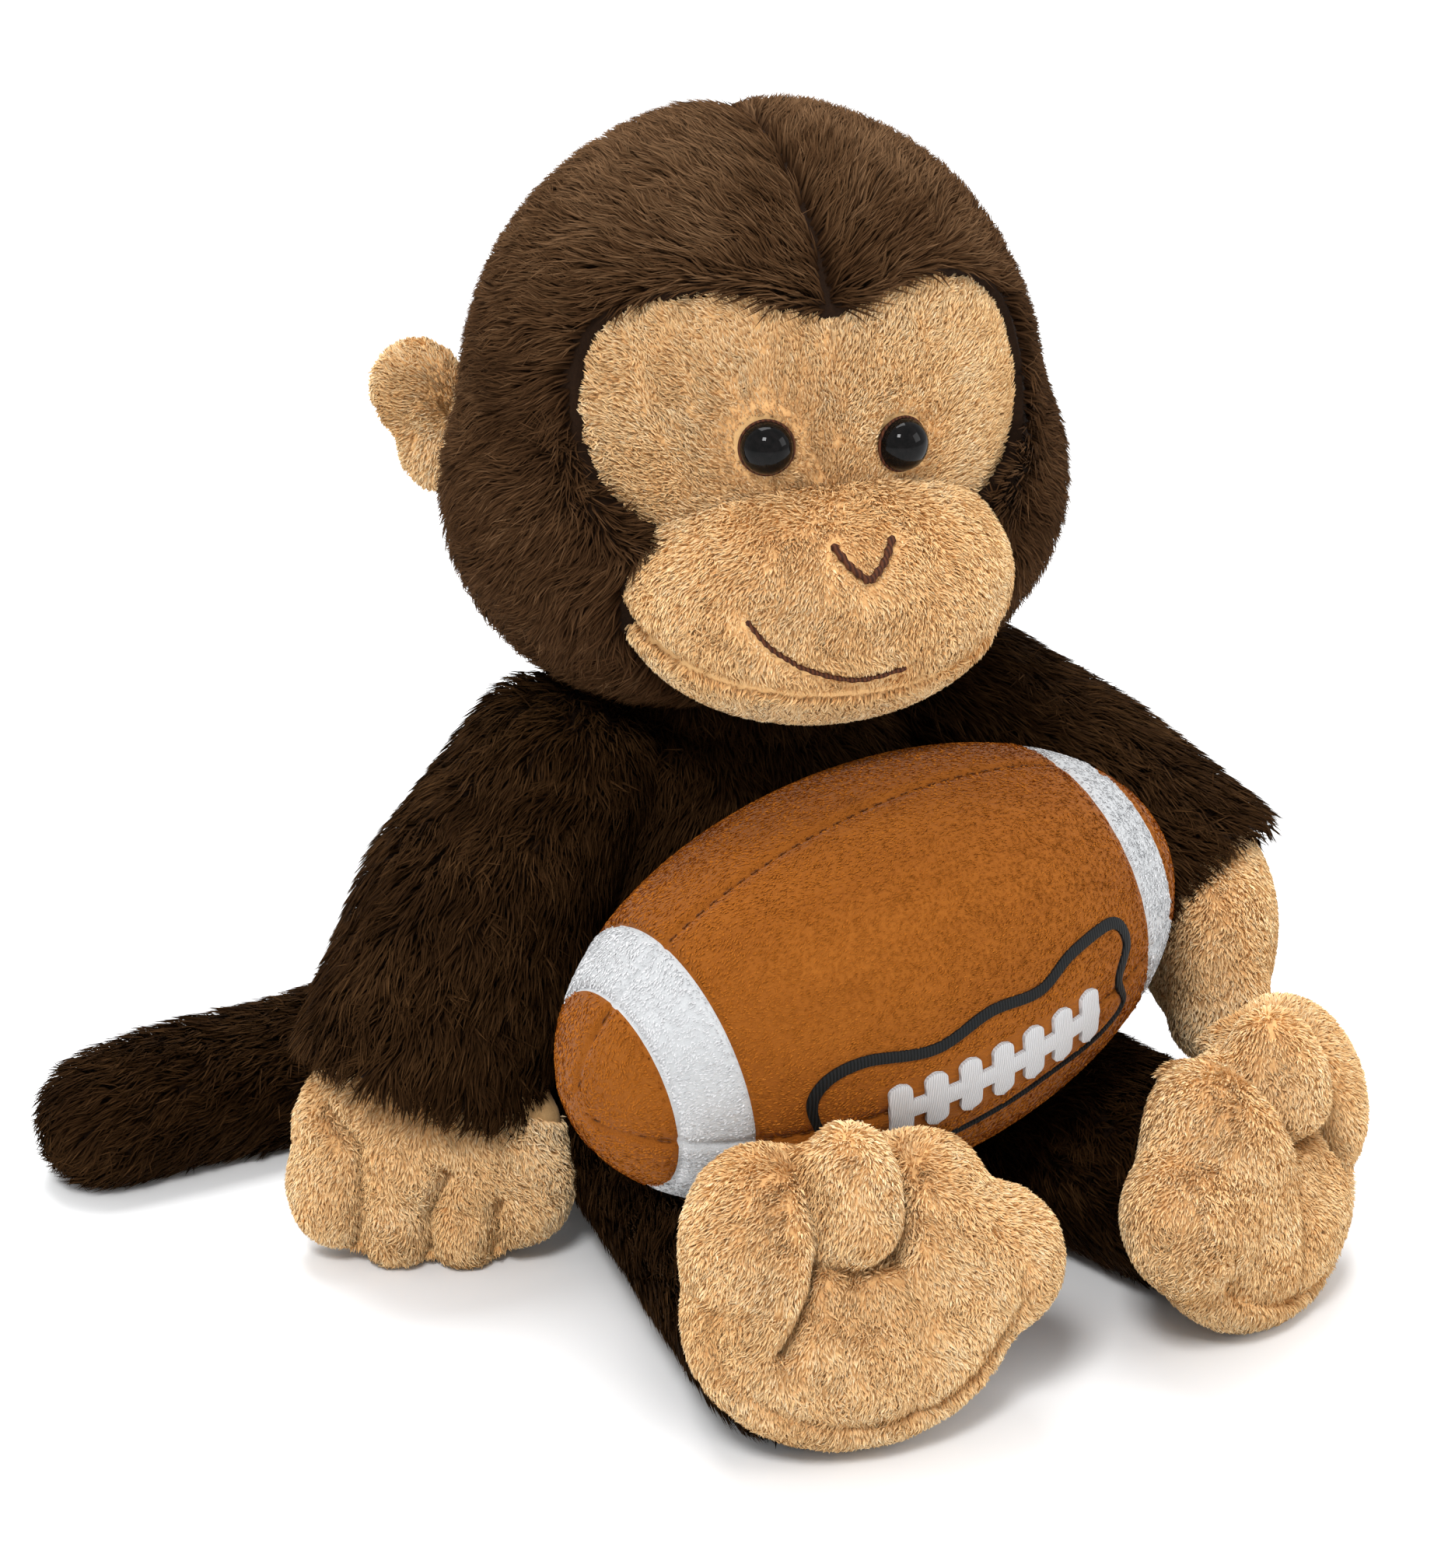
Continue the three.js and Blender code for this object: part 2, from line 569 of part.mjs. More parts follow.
function makeArm(name, arm) {
  const places = armPlaces(arm);
  const [shoulder, elbow, cuff] = places.map(({ at }) => new THREE.Vector3(...at));
  const heading = Math.atan2(cuff.y - shoulder.y, cuff.x - shoulder.x);
  const frame = group(monkey, shoulder.toArray(), [0, 0, THREE.MathUtils.radToDeg(heading)]);
  const local = placesIn(frame, places);
  const wrist = frame.worldToLocal(new THREE.Vector3(...arm.paw)).toArray();
  const hand = group(frame, wrist, [0, 0, arm.turn - THREE.MathUtils.radToDeg(heading)]);
  const forearm = cuff.clone().sub(elbow).normalize().applyAxisAngle(new THREE.Vector3(0, 0, 1), -heading);
  const cuffPlace = frame.worldToLocal(cuff.clone());
  const sleeveSide = (past) => behind(forearm.clone().multiplyScalar(past).add(cuffPlace), forearm);
  const lap = lapRoom(frame);
  const sleeve = limb(local).subtract(limb(local, -LONG_PILE)).intersect(sleeveSide(0)).subtract(lap);
  const sides = [`arm_${name}_inner_panel`, `arm_${name}_outer_panel`];
  seamed(frame, sleeve, "y", 0, arm.side < 0 ? sides.reverse() : sides, "brownPile");
  const floor = above("z", GAP - shoulder.z);
  const sleeveRoom = limb(local, GAP).intersect(sleeveSide(GAP));
  const glove = pawSolid()
    .subtract(palmSolid(-SHORT_PILE))
    .subtract(seenFrom(hand, frame, geometryOf(sleeveRoom)))
    .subtract(lapRoom(hand))
    .intersect(seenFrom(hand, frame, geometryOf(floor)));
  seamed(hand, glove, "y", 0, [`paw_${name}_back`, `paw_${name}_palm`], "tanPile");
  const pawCore = seenFrom(frame, hand, geometryOf(palmSolid(-SHORT_PILE - GAP)));
  const armCore = limb(local, -LONG_PILE - GAP);
  const core = joined(
    armCore.intersect(sleeveSide(0)),
    armCore.intersect(sleeveSide(LONG_PILE)).intersect(pawCore),
    pawCore.subtract(sleeveRoom),
  );
  piece(frame, `arm_${name}_stuffing`, core.subtract(lap), "stuffing");
}

// ---- Legs ----
const soleSolid = (by) => ellipsoid([0, 0, 0], grown(FOOT.size, by), SMALL_AROUND, SMALL_RISE);

function footSolid(by) {
  const toes = TOES.places.map((x) => {
    const at = [x, -TOES.front, TOES.rise - Math.abs(x) / 4];
    return ellipsoid(at, grown(TOES.size, by), LOBE_AROUND, LOBE_RISE);
  });
  return joined(soleSolid(by), ...toes);
}

function makeLeg(name, leg) {
  const places = legPlaces(leg);
  const hip = places[0].at;
  const frame = group(monkey, hip);
  const local = placesIn(frame, places);
  const foot = group(frame, leg.foot.map((v, i) => v - hip[i]), [-FOOT.lean, 0, leg.turn]);
  const floor = above("z", -hip[2]);
  const lap = lapRoom(frame);
  const footIn = (shape) => seenFrom(frame, foot, geometryOf(shape));
  const coat = limb(local)
    .subtract(limb(local, -LONG_PILE))
    .subtract(footIn(footSolid(GAP)))
    .subtract(lap)
    .intersect(floor);
  seamed(frame, coat, "z", 0, [`leg_${name}_under_panel`, `leg_${name}_top_panel`], "brownPile");
  const shoe = footSolid(0)
    .subtract(soleSolid(-SHORT_PILE))
    .subtract(seenFrom(foot, frame, geometryOf(limb(local, -LONG_PILE - GAP))))
    .subtract(wayRoom(foot))
    .intersect(seenFrom(foot, frame, geometryOf(floor)));
  seamed(foot, shoe, "y", FOOT.seam, [`foot_${name}_sole`, `foot_${name}_upper`], "tanPile");
  const core = limb(local, -LONG_PILE - 2 * GAP).add(footIn(soleSolid(-SHORT_PILE - GAP)));
  piece(frame, `leg_${name}_stuffing`, core.subtract(wayRoom(frame)), "stuffing");
}

// ---- Tail ----
function makeTail() {
  const places = tailPlaces();
  const root = places[0].at;
  const frame = group(monkey, root);
  const local = placesIn(frame, places);
  const coat = limb(local).subtract(limb(local, -LONG_PILE));
  seamed(frame, coat, "z", TAIL.seam, ["tail_under_panel", "tail_top_panel"], "brownPile");
  piece(frame, "tail_stuffing", limb(local, -LONG_PILE - GAP), "stuffing");
}

// ---- Ball ----
const ballSolid = (by) => solid(ballGeometry(by));

// The stitches that fill an outline on the front of the ball.
function onBall(cutter) {
  const layer = ballSolid(GAP + STITCH_HEIGHT).subtract(ballSolid(GAP));
  return layer.intersect(cutter);
}

function pushed(outline) {
  const shape = new THREE.Shape(outline);
  const cutter = new THREE.ExtrudeGeometry(shape, { depth: FAR, bevelEnabled: false });
  return solid(cutter.rotateX(Math.PI / 2));
}

function bar(x, wide, tall) {
  const corners = [[-1, -1], [1, -1], [1, 1], [-1, 1]];
  return pushed(corners.map(([u, v]) => new THREE.Vector2(x + (u * wide) / 2, (v * tall) / 2)));
}

// The wavy border round the laces, as places along and up from their middle.
const BORDER_LEFT = [[-30, -8.5], [-36, 3], [-34, 9]];
const BORDER_UPPER = [[-26, 11.5], [-13, 9.7], [-1, 12], [10, 11], [19, 13.5], [30, 13], [33, 8]];
const BORDER_LOWER = [[29, 2], [31, -4], [25, -7], [12, -8], [2, -9.5], [-16, -11]];

// The border's outline, grown by an edge.
function borderRim(edge) {
  const places = [...BORDER_LEFT, ...BORDER_UPPER, ...BORDER_LOWER];
  const round = places.map(([x, y]) => new THREE.Vector3(x, y, 0).setLength(Math.hypot(x, y) + edge));
  const rim = new THREE.CatmullRomCurve3(round, true).getPoints(2 * places.length).slice(0, -1);
  return pushed(rim.map(({ x, y }) => new THREE.Vector2(x + LACES.centre, y)));
}

function makeBall() {
  const coat = ballSolid(0).subtract(ballSolid(-SHORT_PILE));
  const middle = coat
    .intersect(above("x", -BAND.from + GAP / 2))
    .intersect(below("x", BAND.from - GAP / 2));
  const upper = middle.intersect(above("z", GAP / 2));
  const lower = middle.intersect(below("z", -GAP / 2));
  seamed(ball, upper, "y", 0, ["ball_top_front_panel", "ball_top_back_panel"], "ballPile");
  seamed(ball, lower, "y", 0, ["ball_low_front_panel", "ball_low_back_panel"], "ballPile");
  for (const [name, side] of [["right", -1], ["left", 1]]) {
    const inner = side * (BAND.from + GAP / 2);
    const outer = side * BAND.to;
    const ring = coat.intersect(solid(slab("x", Math.min(inner, outer), Math.max(inner, outer))));
    piece(ball, `ball_band_${name}`, ring, "whitePile");
    const past = outer + side * GAP;
    const tip = coat.intersect(side < 0 ? below("x", past) : above("x", past));
    piece(ball, `ball_tip_${name}`, tip, "ballPile");
  }
  piece(ball, "ball_stuffing", ballSolid(-SHORT_PILE - GAP), "stuffing");
  const bars = [bar(LACES.centre, LACES.length, LACES.bar)];
  for (let i = 0; i < LACES.count; i++) {
    const step = (LACES.length - LACES.tieWidth) / (LACES.count - 1);
    const x = LACES.centre - (LACES.length - LACES.tieWidth) / 2 + i * step;
    bars.push(bar(x, LACES.tieWidth, LACES.tie));
  }
  piece(ball, "ball_laces", onBall(joined(...bars)), "whiteThread");
  const border = borderRim(BORDER_WIDTH / 2).subtract(borderRim(-BORDER_WIDTH / 2));
  piece(ball, "ball_border_stitching", onBall(border), "blackThread");
}

makeTorso();
makeNeck();
makeHead();
makeEars();
for (const [name, arm] of Object.entries(ARMS)) makeArm(name, arm);
for (const [name, leg] of Object.entries(LEGS)) makeLeg(name, leg);
makeTail();
makeBall();

export default monkey;
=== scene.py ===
import math

import bpy
import numpy as np
from mathutils import Euler, Matrix, Vector


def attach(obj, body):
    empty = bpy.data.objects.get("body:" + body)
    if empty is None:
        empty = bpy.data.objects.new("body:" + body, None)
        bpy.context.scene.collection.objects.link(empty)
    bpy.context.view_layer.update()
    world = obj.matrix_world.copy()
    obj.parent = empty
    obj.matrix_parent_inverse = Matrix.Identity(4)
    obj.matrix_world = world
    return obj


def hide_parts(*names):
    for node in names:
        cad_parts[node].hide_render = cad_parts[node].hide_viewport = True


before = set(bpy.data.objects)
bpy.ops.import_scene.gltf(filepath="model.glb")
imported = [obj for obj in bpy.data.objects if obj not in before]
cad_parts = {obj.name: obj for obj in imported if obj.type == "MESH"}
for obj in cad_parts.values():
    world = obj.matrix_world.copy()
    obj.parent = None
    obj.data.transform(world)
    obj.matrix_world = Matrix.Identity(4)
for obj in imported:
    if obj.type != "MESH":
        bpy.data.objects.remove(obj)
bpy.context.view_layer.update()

MM = 0.001

# ---- Camera ----
LOOK_AT = Vector((-5.4, -4.5, 77)) * MM
CAMERA_AZIMUTH = math.radians(-33)
CAMERA_ELEVATION = math.radians(22)
CAMERA_DISTANCE = 0.83
CAMERA_LENS = 100
CAMERA_SENSOR = 36

# ---- Places of the groups ----
HEAD = Matrix.Translation(Vector((0, -8, 155)) * MM) @ Matrix.Rotation(math.radians(-15), 4, "Z")
BALL = (
    Matrix.Translation(Vector((-12, -65.557, 63)) * MM)
    @ Euler((math.radians(10), math.radians(-10), 0)).to_matrix().to_4x4()
)
SHOULDERS = {"right": Vector((-41.14, -5, 89)), "left": Vector((41.14, -5, 89))}
ELBOWS = {"right": Vector((-59, -7, 66)), "left": Vector((62, -26, 67))}
CUFFS = {"right": Vector((-74.5, -9, 36)), "left": Vector((74, -48, 51))}
PAWS = {"right": (Vector((-74, -12, 23)), -33), "left": (Vector((76, -53, 45)), 57)}
HIPS = {"right": Vector((-28, -15, 20)), "left": Vector((28, -15, 20))}
ANKLES = {"right": Vector((-52, -101, 18)), "left": Vector((39, -98, 18))}
FEET = {"right": (Vector((-45.5, -108, 30.5)), -14), "left": (Vector((41, -108, 28)), 24)}
FOOT_LEAN = -18
TAIL_ROOT = Vector((-8, 48.3, 16.5))
TAIL_TIP = Vector((-111, 49.3, 12.5))
NECK = Vector((0, -8, 100))
EARS = {
    "right": (Vector((-39.32, 31.32, 147.2)), 135),
    "left": (Vector((53.71, 6.39, 147.2)), 15),
}
SIDES = {"right": -1, "left": 1}

# ---- Lights: place, width and power ----
LIGHTS = {
    "key": ((-0.9, -0.9, 1.5), 0.42, 20),
    "fill": ((1.1, -1.2, 0.8), 0.8, 7),
    "top": ((0.1, 0.5, 1.6), 0.9, 22),
}
WORLD_STRENGTH = 0.8
FLOOR_COLOUR = (0.93, 0.935, 0.94, 1)

# ---- Sizes, in mm ----
TORSO_LEVELS = [  # (height, radius)
    (0, 33), (4, 40), (10, 44.5), (18, 46.5), (26, 47), (40, 45.5),
    (55, 43), (68, 39), (80, 35), (90, 29), (96, 22),
]
TORSO_DEPTH = 0.9  # as a share of its width
SKIN_FLOOR = 0.8  # the lowest that a brown skin lies
PAW_FLOOR = 0.6
SHOULDER_RADIUS = 16
ELBOW_RADIUS = 20.5
CUFF_RADIUS = 21.5
HIP_RADIUS = 19
ANKLE_RADIUS = 17
TAIL_RADII = (15, 11.5)
CRANIUM_RADIUS = 51
CHEEK = {"out": 17, "at": (-2, -16), "size": (39, 41, 37)}
FACE_RADIUS = 48.6
FACE_HALF = [(0, 26.5), (20, 30.4), (37, 23.4), (42.1, 6.8), (35.1, -10.4), (0, -21.8)]
MUZZLE_AT = Vector((0, -36, -25))
MUZZLE_SIZE = Vector((35.5, 29.8, 24))
LIP = {"through": Vector((0, -36, -28)), "tilt": 18}
EYE = {"radius": 4.7, "height": 4.2}
EYE_PLACES = {"right": (-12.9, 4.4), "left": (11.9, 2.8)}
NOSE_STROKES = [[(-5.2, -10), (-3, -13.2), (0, -15.8)], [(6, -9.8), (3.2, -13.2), (0, -15.8)]]
MOUTH_STROKES = [
    [(-21, -22), (-17.5, -26.5), (-13, -29.8)],
    [(-13, -30), (-7, -32.4), (-1, -33.6), (7, -32.4)],
]
BALL_HALF = 63.5
BALL_RADIUS = 36.5
BAND = (43, 54)
LACES = {"centre": 2, "length": 46, "bar": 3.4, "count": 7, "tie": 11, "width": 4.4}
BORDER = [
    (-36, 3), (-34, 9), (-26, 11.5), (-13, 9.7), (-1, 12), (10, 11), (19, 13.5), (30, 13), (33, 8),
    (29.5, 2.4), (31, -4), (25, -7), (12, -8), (2, -9.5), (-16, -11), (-30, -8.5),
]

# ---- Working on meshes ----
def deselect():
    bpy.ops.object.select_all(action="DESELECT")


def pick(piece):
    deselect()
    piece.select_set(True)
    bpy.context.view_layer.objects.active = piece


def points(piece):
    flat = np.empty(len(piece.data.vertices) * 3, np.float32)
    piece.data.vertices.foreach_get("co", flat)
    return flat.reshape(-1, 3).astype(float)


def normals(piece):
    flat = np.empty(len(piece.data.vertices) * 3, np.float32)
    piece.data.vertex_normals.foreach_get("vector", flat)
    return flat.reshape(-1, 3).astype(float)


def move_points(piece, places):
    piece.data.vertices.foreach_set("co", places.astype(np.float32).ravel())
    piece.data.update()


def unit(vectors):
    return vectors / np.maximum(np.linalg.norm(vectors, axis=-1, keepdims=True), 1e-12)


def egg(at, size, turn=(0, 0, 0), segments=40, rings=28):
    """A round form in mm, at a place."""
    deselect()
    bpy.ops.mesh.primitive_uv_sphere_add(
        segments=segments, ring_count=rings, radius=MM, location=Vector(at) * MM
    )
    made = bpy.context.object
    made.rotation_euler = [math.radians(a) for a in turn]
    made.scale = size
    bpy.ops.object.transform_apply(location=True, rotation=True, scale=True)
    return made


def sleeve_between(start, start_radius, end, end_radius):
    """A cone from one round to the next."""
    along = Vector(end) - Vector(start)
    deselect()
    bpy.ops.mesh.primitive_cone_add(
        vertices=40,
        radius1=start_radius * MM,
        radius2=end_radius * MM,
        depth=along.length * MM,
        location=(Vector(start) + Vector(end)) / 2 * MM,
        rotation=along.to_track_quat("Z", "Y").to_euler(),
    )
    bpy.ops.object.transform_apply(location=True, rotation=True, scale=True)
    return bpy.context.object


def limb_forms(places):
    """The rounds and cones of a limb through several (place, radius)."""
    forms = [egg(at, (radius,) * 3) for at, radius in places]
    for (start, first), (end, last) in zip(places, places[1:]):
        forms.append(sleeve_between(start, first, end, last))
    return forms


def finish_modifier(piece, modifier):
    pick(piece)
    bpy.ops.object.modifier_apply(modifier=modifier.name)


def sewn(name, forms, voxel=2.6, smooth=6):
    """One closed skin over several forms."""
    deselect()
    for form in forms:
        form.select_set(True)
    bpy.context.view_layer.objects.active = forms[0]
    if len(forms) > 1:
        bpy.ops.object.join()
    skin = bpy.context.object
    skin.name = name
    skin.data.name = name
    remesh = skin.modifiers.new("one skin", "REMESH")
    remesh.mode = "VOXEL"
    remesh.voxel_size = voxel * MM
    finish_modifier(skin, remesh)
    even = skin.modifiers.new("even", "SMOOTH")
    even.factor = 0.5
    even.iterations = smooth
    finish_modifier(skin, even)
    return skin


def near_path(places, path):
    """How far each place is from a path of straight runs."""
    nearest = np.full(len(places), np.inf)
    for start, end in zip(path, path[1:]):
        start, end = np.array(start, float), np.array(end, float)
        along = end - start
        share = np.clip((places - start) @ along / (along @ along), 0, 1)
        gap = np.linalg.norm(places - start - share[:, None] * along, axis=1)
        nearest = np.minimum(nearest, gap)
    return nearest


def crease(skin, path, depth, width):
    """Draws the cloth in along a seam, given in mm."""
    places = points(skin)
    gap = near_path(places / MM, path)
    pull = depth * MM * np.exp(-((gap / width) ** 2))
    move_points(skin, places - normals(skin) * pull[:, None])


def flat_gap(places, path):
    """How far each place in mm is from a path, seen along Y."""
    return near_path(places * (1, 0, 1), [(x, 0, z) for x, _, z in path])


def gap_across(places, path, front=-1):
    """The same, for what lies on the front (-1) or the back (1) only."""
    return np.where(places[:, 1] * front > -3, flat_gap(places, path), np.inf)


def press(skin, path, depth, width, front=-1):
    """Draws the cloth straight in from the front or the back along a path, in mm."""
    places = points(skin)
    gap = gap_across(places / MM, path, front)
    places[:, 1] -= front * depth * MM * np.exp(-((gap / width) ** 2))
    move_points(skin, places)


STUFFING_FRAMES = 20
STUFFING_PRESSURE = 4


def stuff(skin, seams, cap, reach=2.5):
    """Fills the cloth, which swells between the seams that hold it, by at most cap mm."""
    before = points(skin)
    group = skin.vertex_groups.new(name="seams")
    if seams:
        gap = np.min([near_path(before / MM, path) for path in seams], axis=0)
        group.add([int(i) for i in np.nonzero(gap < reach)[0]], 1.0, "REPLACE")
    cloth = skin.modifiers.new("stuffing", "CLOTH")
    cloth.settings.use_pressure = True
    cloth.settings.uniform_pressure_force = STUFFING_PRESSURE
    cloth.settings.effector_weights.gravity = 0
    cloth.settings.vertex_group_mass = "seams"
    cloth.collision_settings.use_collision = False
    cloth.point_cache.frame_end = STUFFING_FRAMES
    for step in range(1, STUFFING_FRAMES + 1):
        bpy.context.scene.frame_set(step)
    filled = skin.evaluated_get(bpy.context.evaluated_depsgraph_get()).to_mesh()
    flat = np.empty(len(filled.vertices) * 3, np.float32)
    filled.vertices.foreach_get("co", flat)
    skin.modifiers.remove(cloth)
    bpy.context.scene.frame_set(1)
    moved = flat.reshape(-1, 3) - before
    far = np.linalg.norm(moved, axis=1, keepdims=True)
    moved *= np.minimum(1, cap * MM / np.maximum(far, 1e-9))
    move_points(skin, before + moved)
    skin.vertex_groups.clear()


def refine(skin, levels=1):
    """Finer, smooth faces."""
    finer = skin.modifiers.new("finer", "SUBSURF")
    finer.levels = levels
    finer.render_levels = levels
    finish_modifier(skin, finer)
    smooth(skin)


def smooth(piece, sharp_above=None):
    """Smooth shading, with an edge left sharp where its faces turn by more than an angle."""
    pick(piece)
    if sharp_above is None:
        bpy.ops.object.shade_smooth()
    else:
        bpy.ops.object.shade_smooth_by_angle(angle=math.radians(sharp_above))


def above_floor(skin, height):
    """Presses what would lie under the floor flat, at a height in mm."""
    places = points(skin)
    places[:, 2] = np.maximum(places[:, 2], height * MM)
    move_points(skin, places)


def settle(piece, place):
    """Moves a piece's mesh from its own frame to the model's."""
    piece.data.transform(place)
    piece.data.update()


def cut(piece, at, facing):
    """Keeps what lies behind a plane, and closes the cut."""
    pick(piece)
    bpy.ops.object.mode_set(mode="EDIT")
    bpy.ops.mesh.select_all(action="SELECT")
    bpy.ops.mesh.bisect(plane_co=at, plane_no=facing, use_fill=True, clear_outer=True)
    bpy.ops.object.mode_set(mode="OBJECT")


def copy_of(piece, name):
    made = piece.copy()
    made.data = piece.data.copy()
    made.name = name
    made.data.name = name
    bpy.context.scene.collection.objects.link(made)
    return made


# ---- Pile: thousands of fine strands standing on a skin ----
DENSITY_SHARE = 1
WIDTH_SHARE = 1
ROOT_DEPTH = 0.4
OCTAVES = (1.09, 0.97, 0.80, 2.00)  # how much faster each layer of a ripple wavers
STYLES = {
    "long": {
        "density": 3.7, "length": 7.2, "width": 0.44, "lay": (0.5, 0.82),
        "waver": 0.34, "spread": 0.16, "roll": 0.5, "segments": 2,
    },
    "body": {
        "density": 2.9, "length": 6.6, "width": 0.5, "lay": (0.5, 0.82),
        "waver": 0.42, "spread": 0.2, "roll": 0.5, "segments": 2,
    },
    "tan": {
        "density": 6.4, "length": 2.1, "width": 0.4, "lay": (0.5, 0.76),
        "waver": 0.42, "spread": 0.28, "roll": 0.6, "segments": 1,
    },
    "nap": {
        "density": 3.6, "length": 1.1, "width": 0.4, "lay": (0.84, 0.93),
        "waver": 0.3, "spread": 0.2, "roll": 0.25, "segments": 1,
    },
}


def ripple(places, pitch, seed):
    """A smooth field of three numbers that wavers over about a pitch in mm."""
    rng = np.random.default_rng(seed)
    total = np.zeros((len(places), 3))
    for octave, faster in enumerate(OCTAVES):
        waves = unit(rng.normal(size=(3, 3))) * (2 * math.pi / (pitch * (1 + 0.45 * octave)))
        shift = rng.uniform(0, 2 * math.pi, (3, 3))
        for axis in range(3):
            phase = places / MM @ waves[axis] * faster + shift[axis][octave % 3]
            across = places / MM @ waves[(axis + 1) % 3] + shift[axis][1]
            total[:, axis] += np.sin(phase + 1.3 * np.sin(across))
    return total / 2.2


def scattered(skin, per_square_mm, rng):
    """Places spread evenly over a skin, with the skin's direction outwards at each."""
    mesh = skin.data
    mesh.calc_loop_triangles()
    corners = np.empty(len(mesh.loop_triangles) * 3, np.int32)
    mesh.loop_triangles.foreach_get("vertices", corners)
    corners = corners.reshape(-1, 3)
    places, outwards = points(skin), normals(skin)
    a, b, c = (places[corners[:, k]] for k in range(3))
    areas = np.linalg.norm(np.cross(b - a, c - a), axis=1) / 2
    total = areas.sum()
    count = int(total / MM**2 * per_square_mm)
    chosen = np.searchsorted(np.cumsum(areas) / total, rng.uniform(size=count))
    chosen = np.minimum(chosen, len(areas) - 1)
    first, second = rng.uniform(size=(2, count))
    flip = first + second > 1
    first[flip], second[flip] = 1 - first[flip], 1 - second[flip]
    share = np.stack([1 - first - second, first, second], axis=1)
    at = np.einsum("nk,nkd->nd", share, places[corners[chosen]])
    out = unit(np.einsum("nk,nkd->nd", share, outwards[corners[chosen]]))
    return at, out


def inside(places, frame_place, at, size, grow=0.0):
    """Which places lie in a round form, given in mm in its group's frame."""
    scaled = (locally(places, frame_place) - np.array(at)) / (np.array(size) + grow)
    return (scaled**2).sum(axis=1) < 1


def pile(name, skin, style, flow, seed, keep=None, tone=None, length=None, avoid=None, floor=None):
    """Strands that stand on a skin and lie along flow(places, outwards).

    keep, tone and length look at the roots, and avoid at the tips. floor is the lowest height in mm.
    Each strand carries its tone and its height in its map.
    """
    look = STYLES[style]
    rng = np.random.default_rng(seed)
    roots, out = scattered(skin, look["density"] * DENSITY_SHARE, rng)
    if keep is not None:
        kept = keep(roots)
        roots, out = roots[kept], out[kept]
    count = len(roots)
    lying = unit(flow(roots, out)) + look["waver"] * ripple(roots, 7, seed)
    lying += look["spread"] * rng.normal(size=(count, 3))
    lying = unit(lying - out * (lying * out).sum(axis=1, keepdims=True))
    long = look["length"] * MM * rng.uniform(0.7, 1.15, count)
    if length is not None:
        long *= length(roots)
    low, high = look["lay"]
    start = unit(out * (1 - low) + lying * low)
    end = unit(out * (1 - high) + lying * high)
    middle = roots + start * long[:, None] * 0.5
    tip = middle + end * long[:, None] * 0.5
    if avoid is not None:
        clear = ~avoid(tip)
        roots, out, middle, tip, end = (x[clear] for x in (roots, out, middle, tip, end))
        count = len(roots)
    across = unit(np.cross(end, out))
    roll = rng.normal(size=(count, 1)) * look["roll"]
    across = across * np.cos(roll) + np.cross(end, across) * np.sin(roll)
    wide = across * look["width"] * MM / 2 * rng.uniform(0.7, 1.2, (count, 1)) * WIDTH_SHARE
    base = roots - out * ROOT_DEPTH * MM
    if look["segments"] > 1:
        rows = [base - wide, base + wide, middle - wide * 0.75, middle + wide * 0.75, tip]
        faces = [(0, 1, 3), (0, 3, 2), (2, 3, 4)]
        heights = [0, 0, 0.5, 0.5, 1]
        lean = [-1, 1, -1, 1, 0]
    else:
        rows = [base, middle + wide, tip, middle - wide]
        faces = [(0, 1, 2), (0, 2, 3)]
        heights = [0, 0.5, 1, 0.5]
        lean = [0, 1, 0, -1]
    places = np.stack(rows, axis=1)
    if floor is not None:
        places[:, :, 2] = np.maximum(places[:, :, 2], floor * MM)
    shade = 0.5 + 0.16 * rng.normal(size=count) + 0.13 * ripple(roots, 14, seed + 1)[:, 0]
    if tone is not None:
        shade += tone(roots)
    shade = np.clip(shade, 0.02, 0.98)
    corners = np.array(faces)[None, :, :] + (np.arange(count) * len(rows))[:, None, None]
    across_map = shade[:, None] + 0.006 * np.array(lean)[None, :]
    up_map = np.broadcast_to(np.array(heights)[None, :] * 0.96 + 0.02, across_map.shape)
    maps = np.stack([across_map, up_map], axis=2)
    return strand_mesh(name, places.reshape(-1, 3), corners.reshape(-1, 3), maps.reshape(-1, 2))


def strand_mesh(name, places, corners, maps):
    mesh = bpy.data.meshes.new(name)
    mesh.vertices.add(len(places))
    mesh.vertices.foreach_set("co", places.astype(np.float32).ravel())
    mesh.loops.add(corners.size)
    mesh.loops.foreach_set("vertex_index", corners.astype(np.int32).ravel())
    mesh.polygons.add(len(corners))
    mesh.polygons.foreach_set("loop_start", np.arange(0, corners.size, 3, dtype=np.int32))
    mesh.polygons.foreach_set("use_smooth", np.ones(len(corners), bool))
    layer = mesh.uv_layers.new(name="OFBake")
    layer.data.foreach_set("uv", maps[corners.ravel()].astype(np.float32).ravel())
    mesh.update(calc_edges=True)
    made = bpy.data.objects.new(name, mesh)
    bpy.context.scene.collection.objects.link(made)
    return made


# ---- Materials ----
def new_material(name):
    made = bpy.data.materials.new(name)
    made.use_nodes = True
    return made, made.node_tree.nodes["Principled BSDF"]


def feed(node, values):
    """Fills a node's inputs: an output is joined to its input, and anything else is the input's value."""
    for name, value in values.items():
        if isinstance(value, bpy.types.NodeSocket):
            node.id_data.links.new(value, node.inputs[name])
        else:
            node.inputs[name].default_value = value
    return node


def add(made, kind, values=None, **settings):
    """A new node in a material."""
    node = made.node_tree.nodes.new(kind)
    for name, value in settings.items():
        setattr(node, name, value)
    return feed(node, values or {})


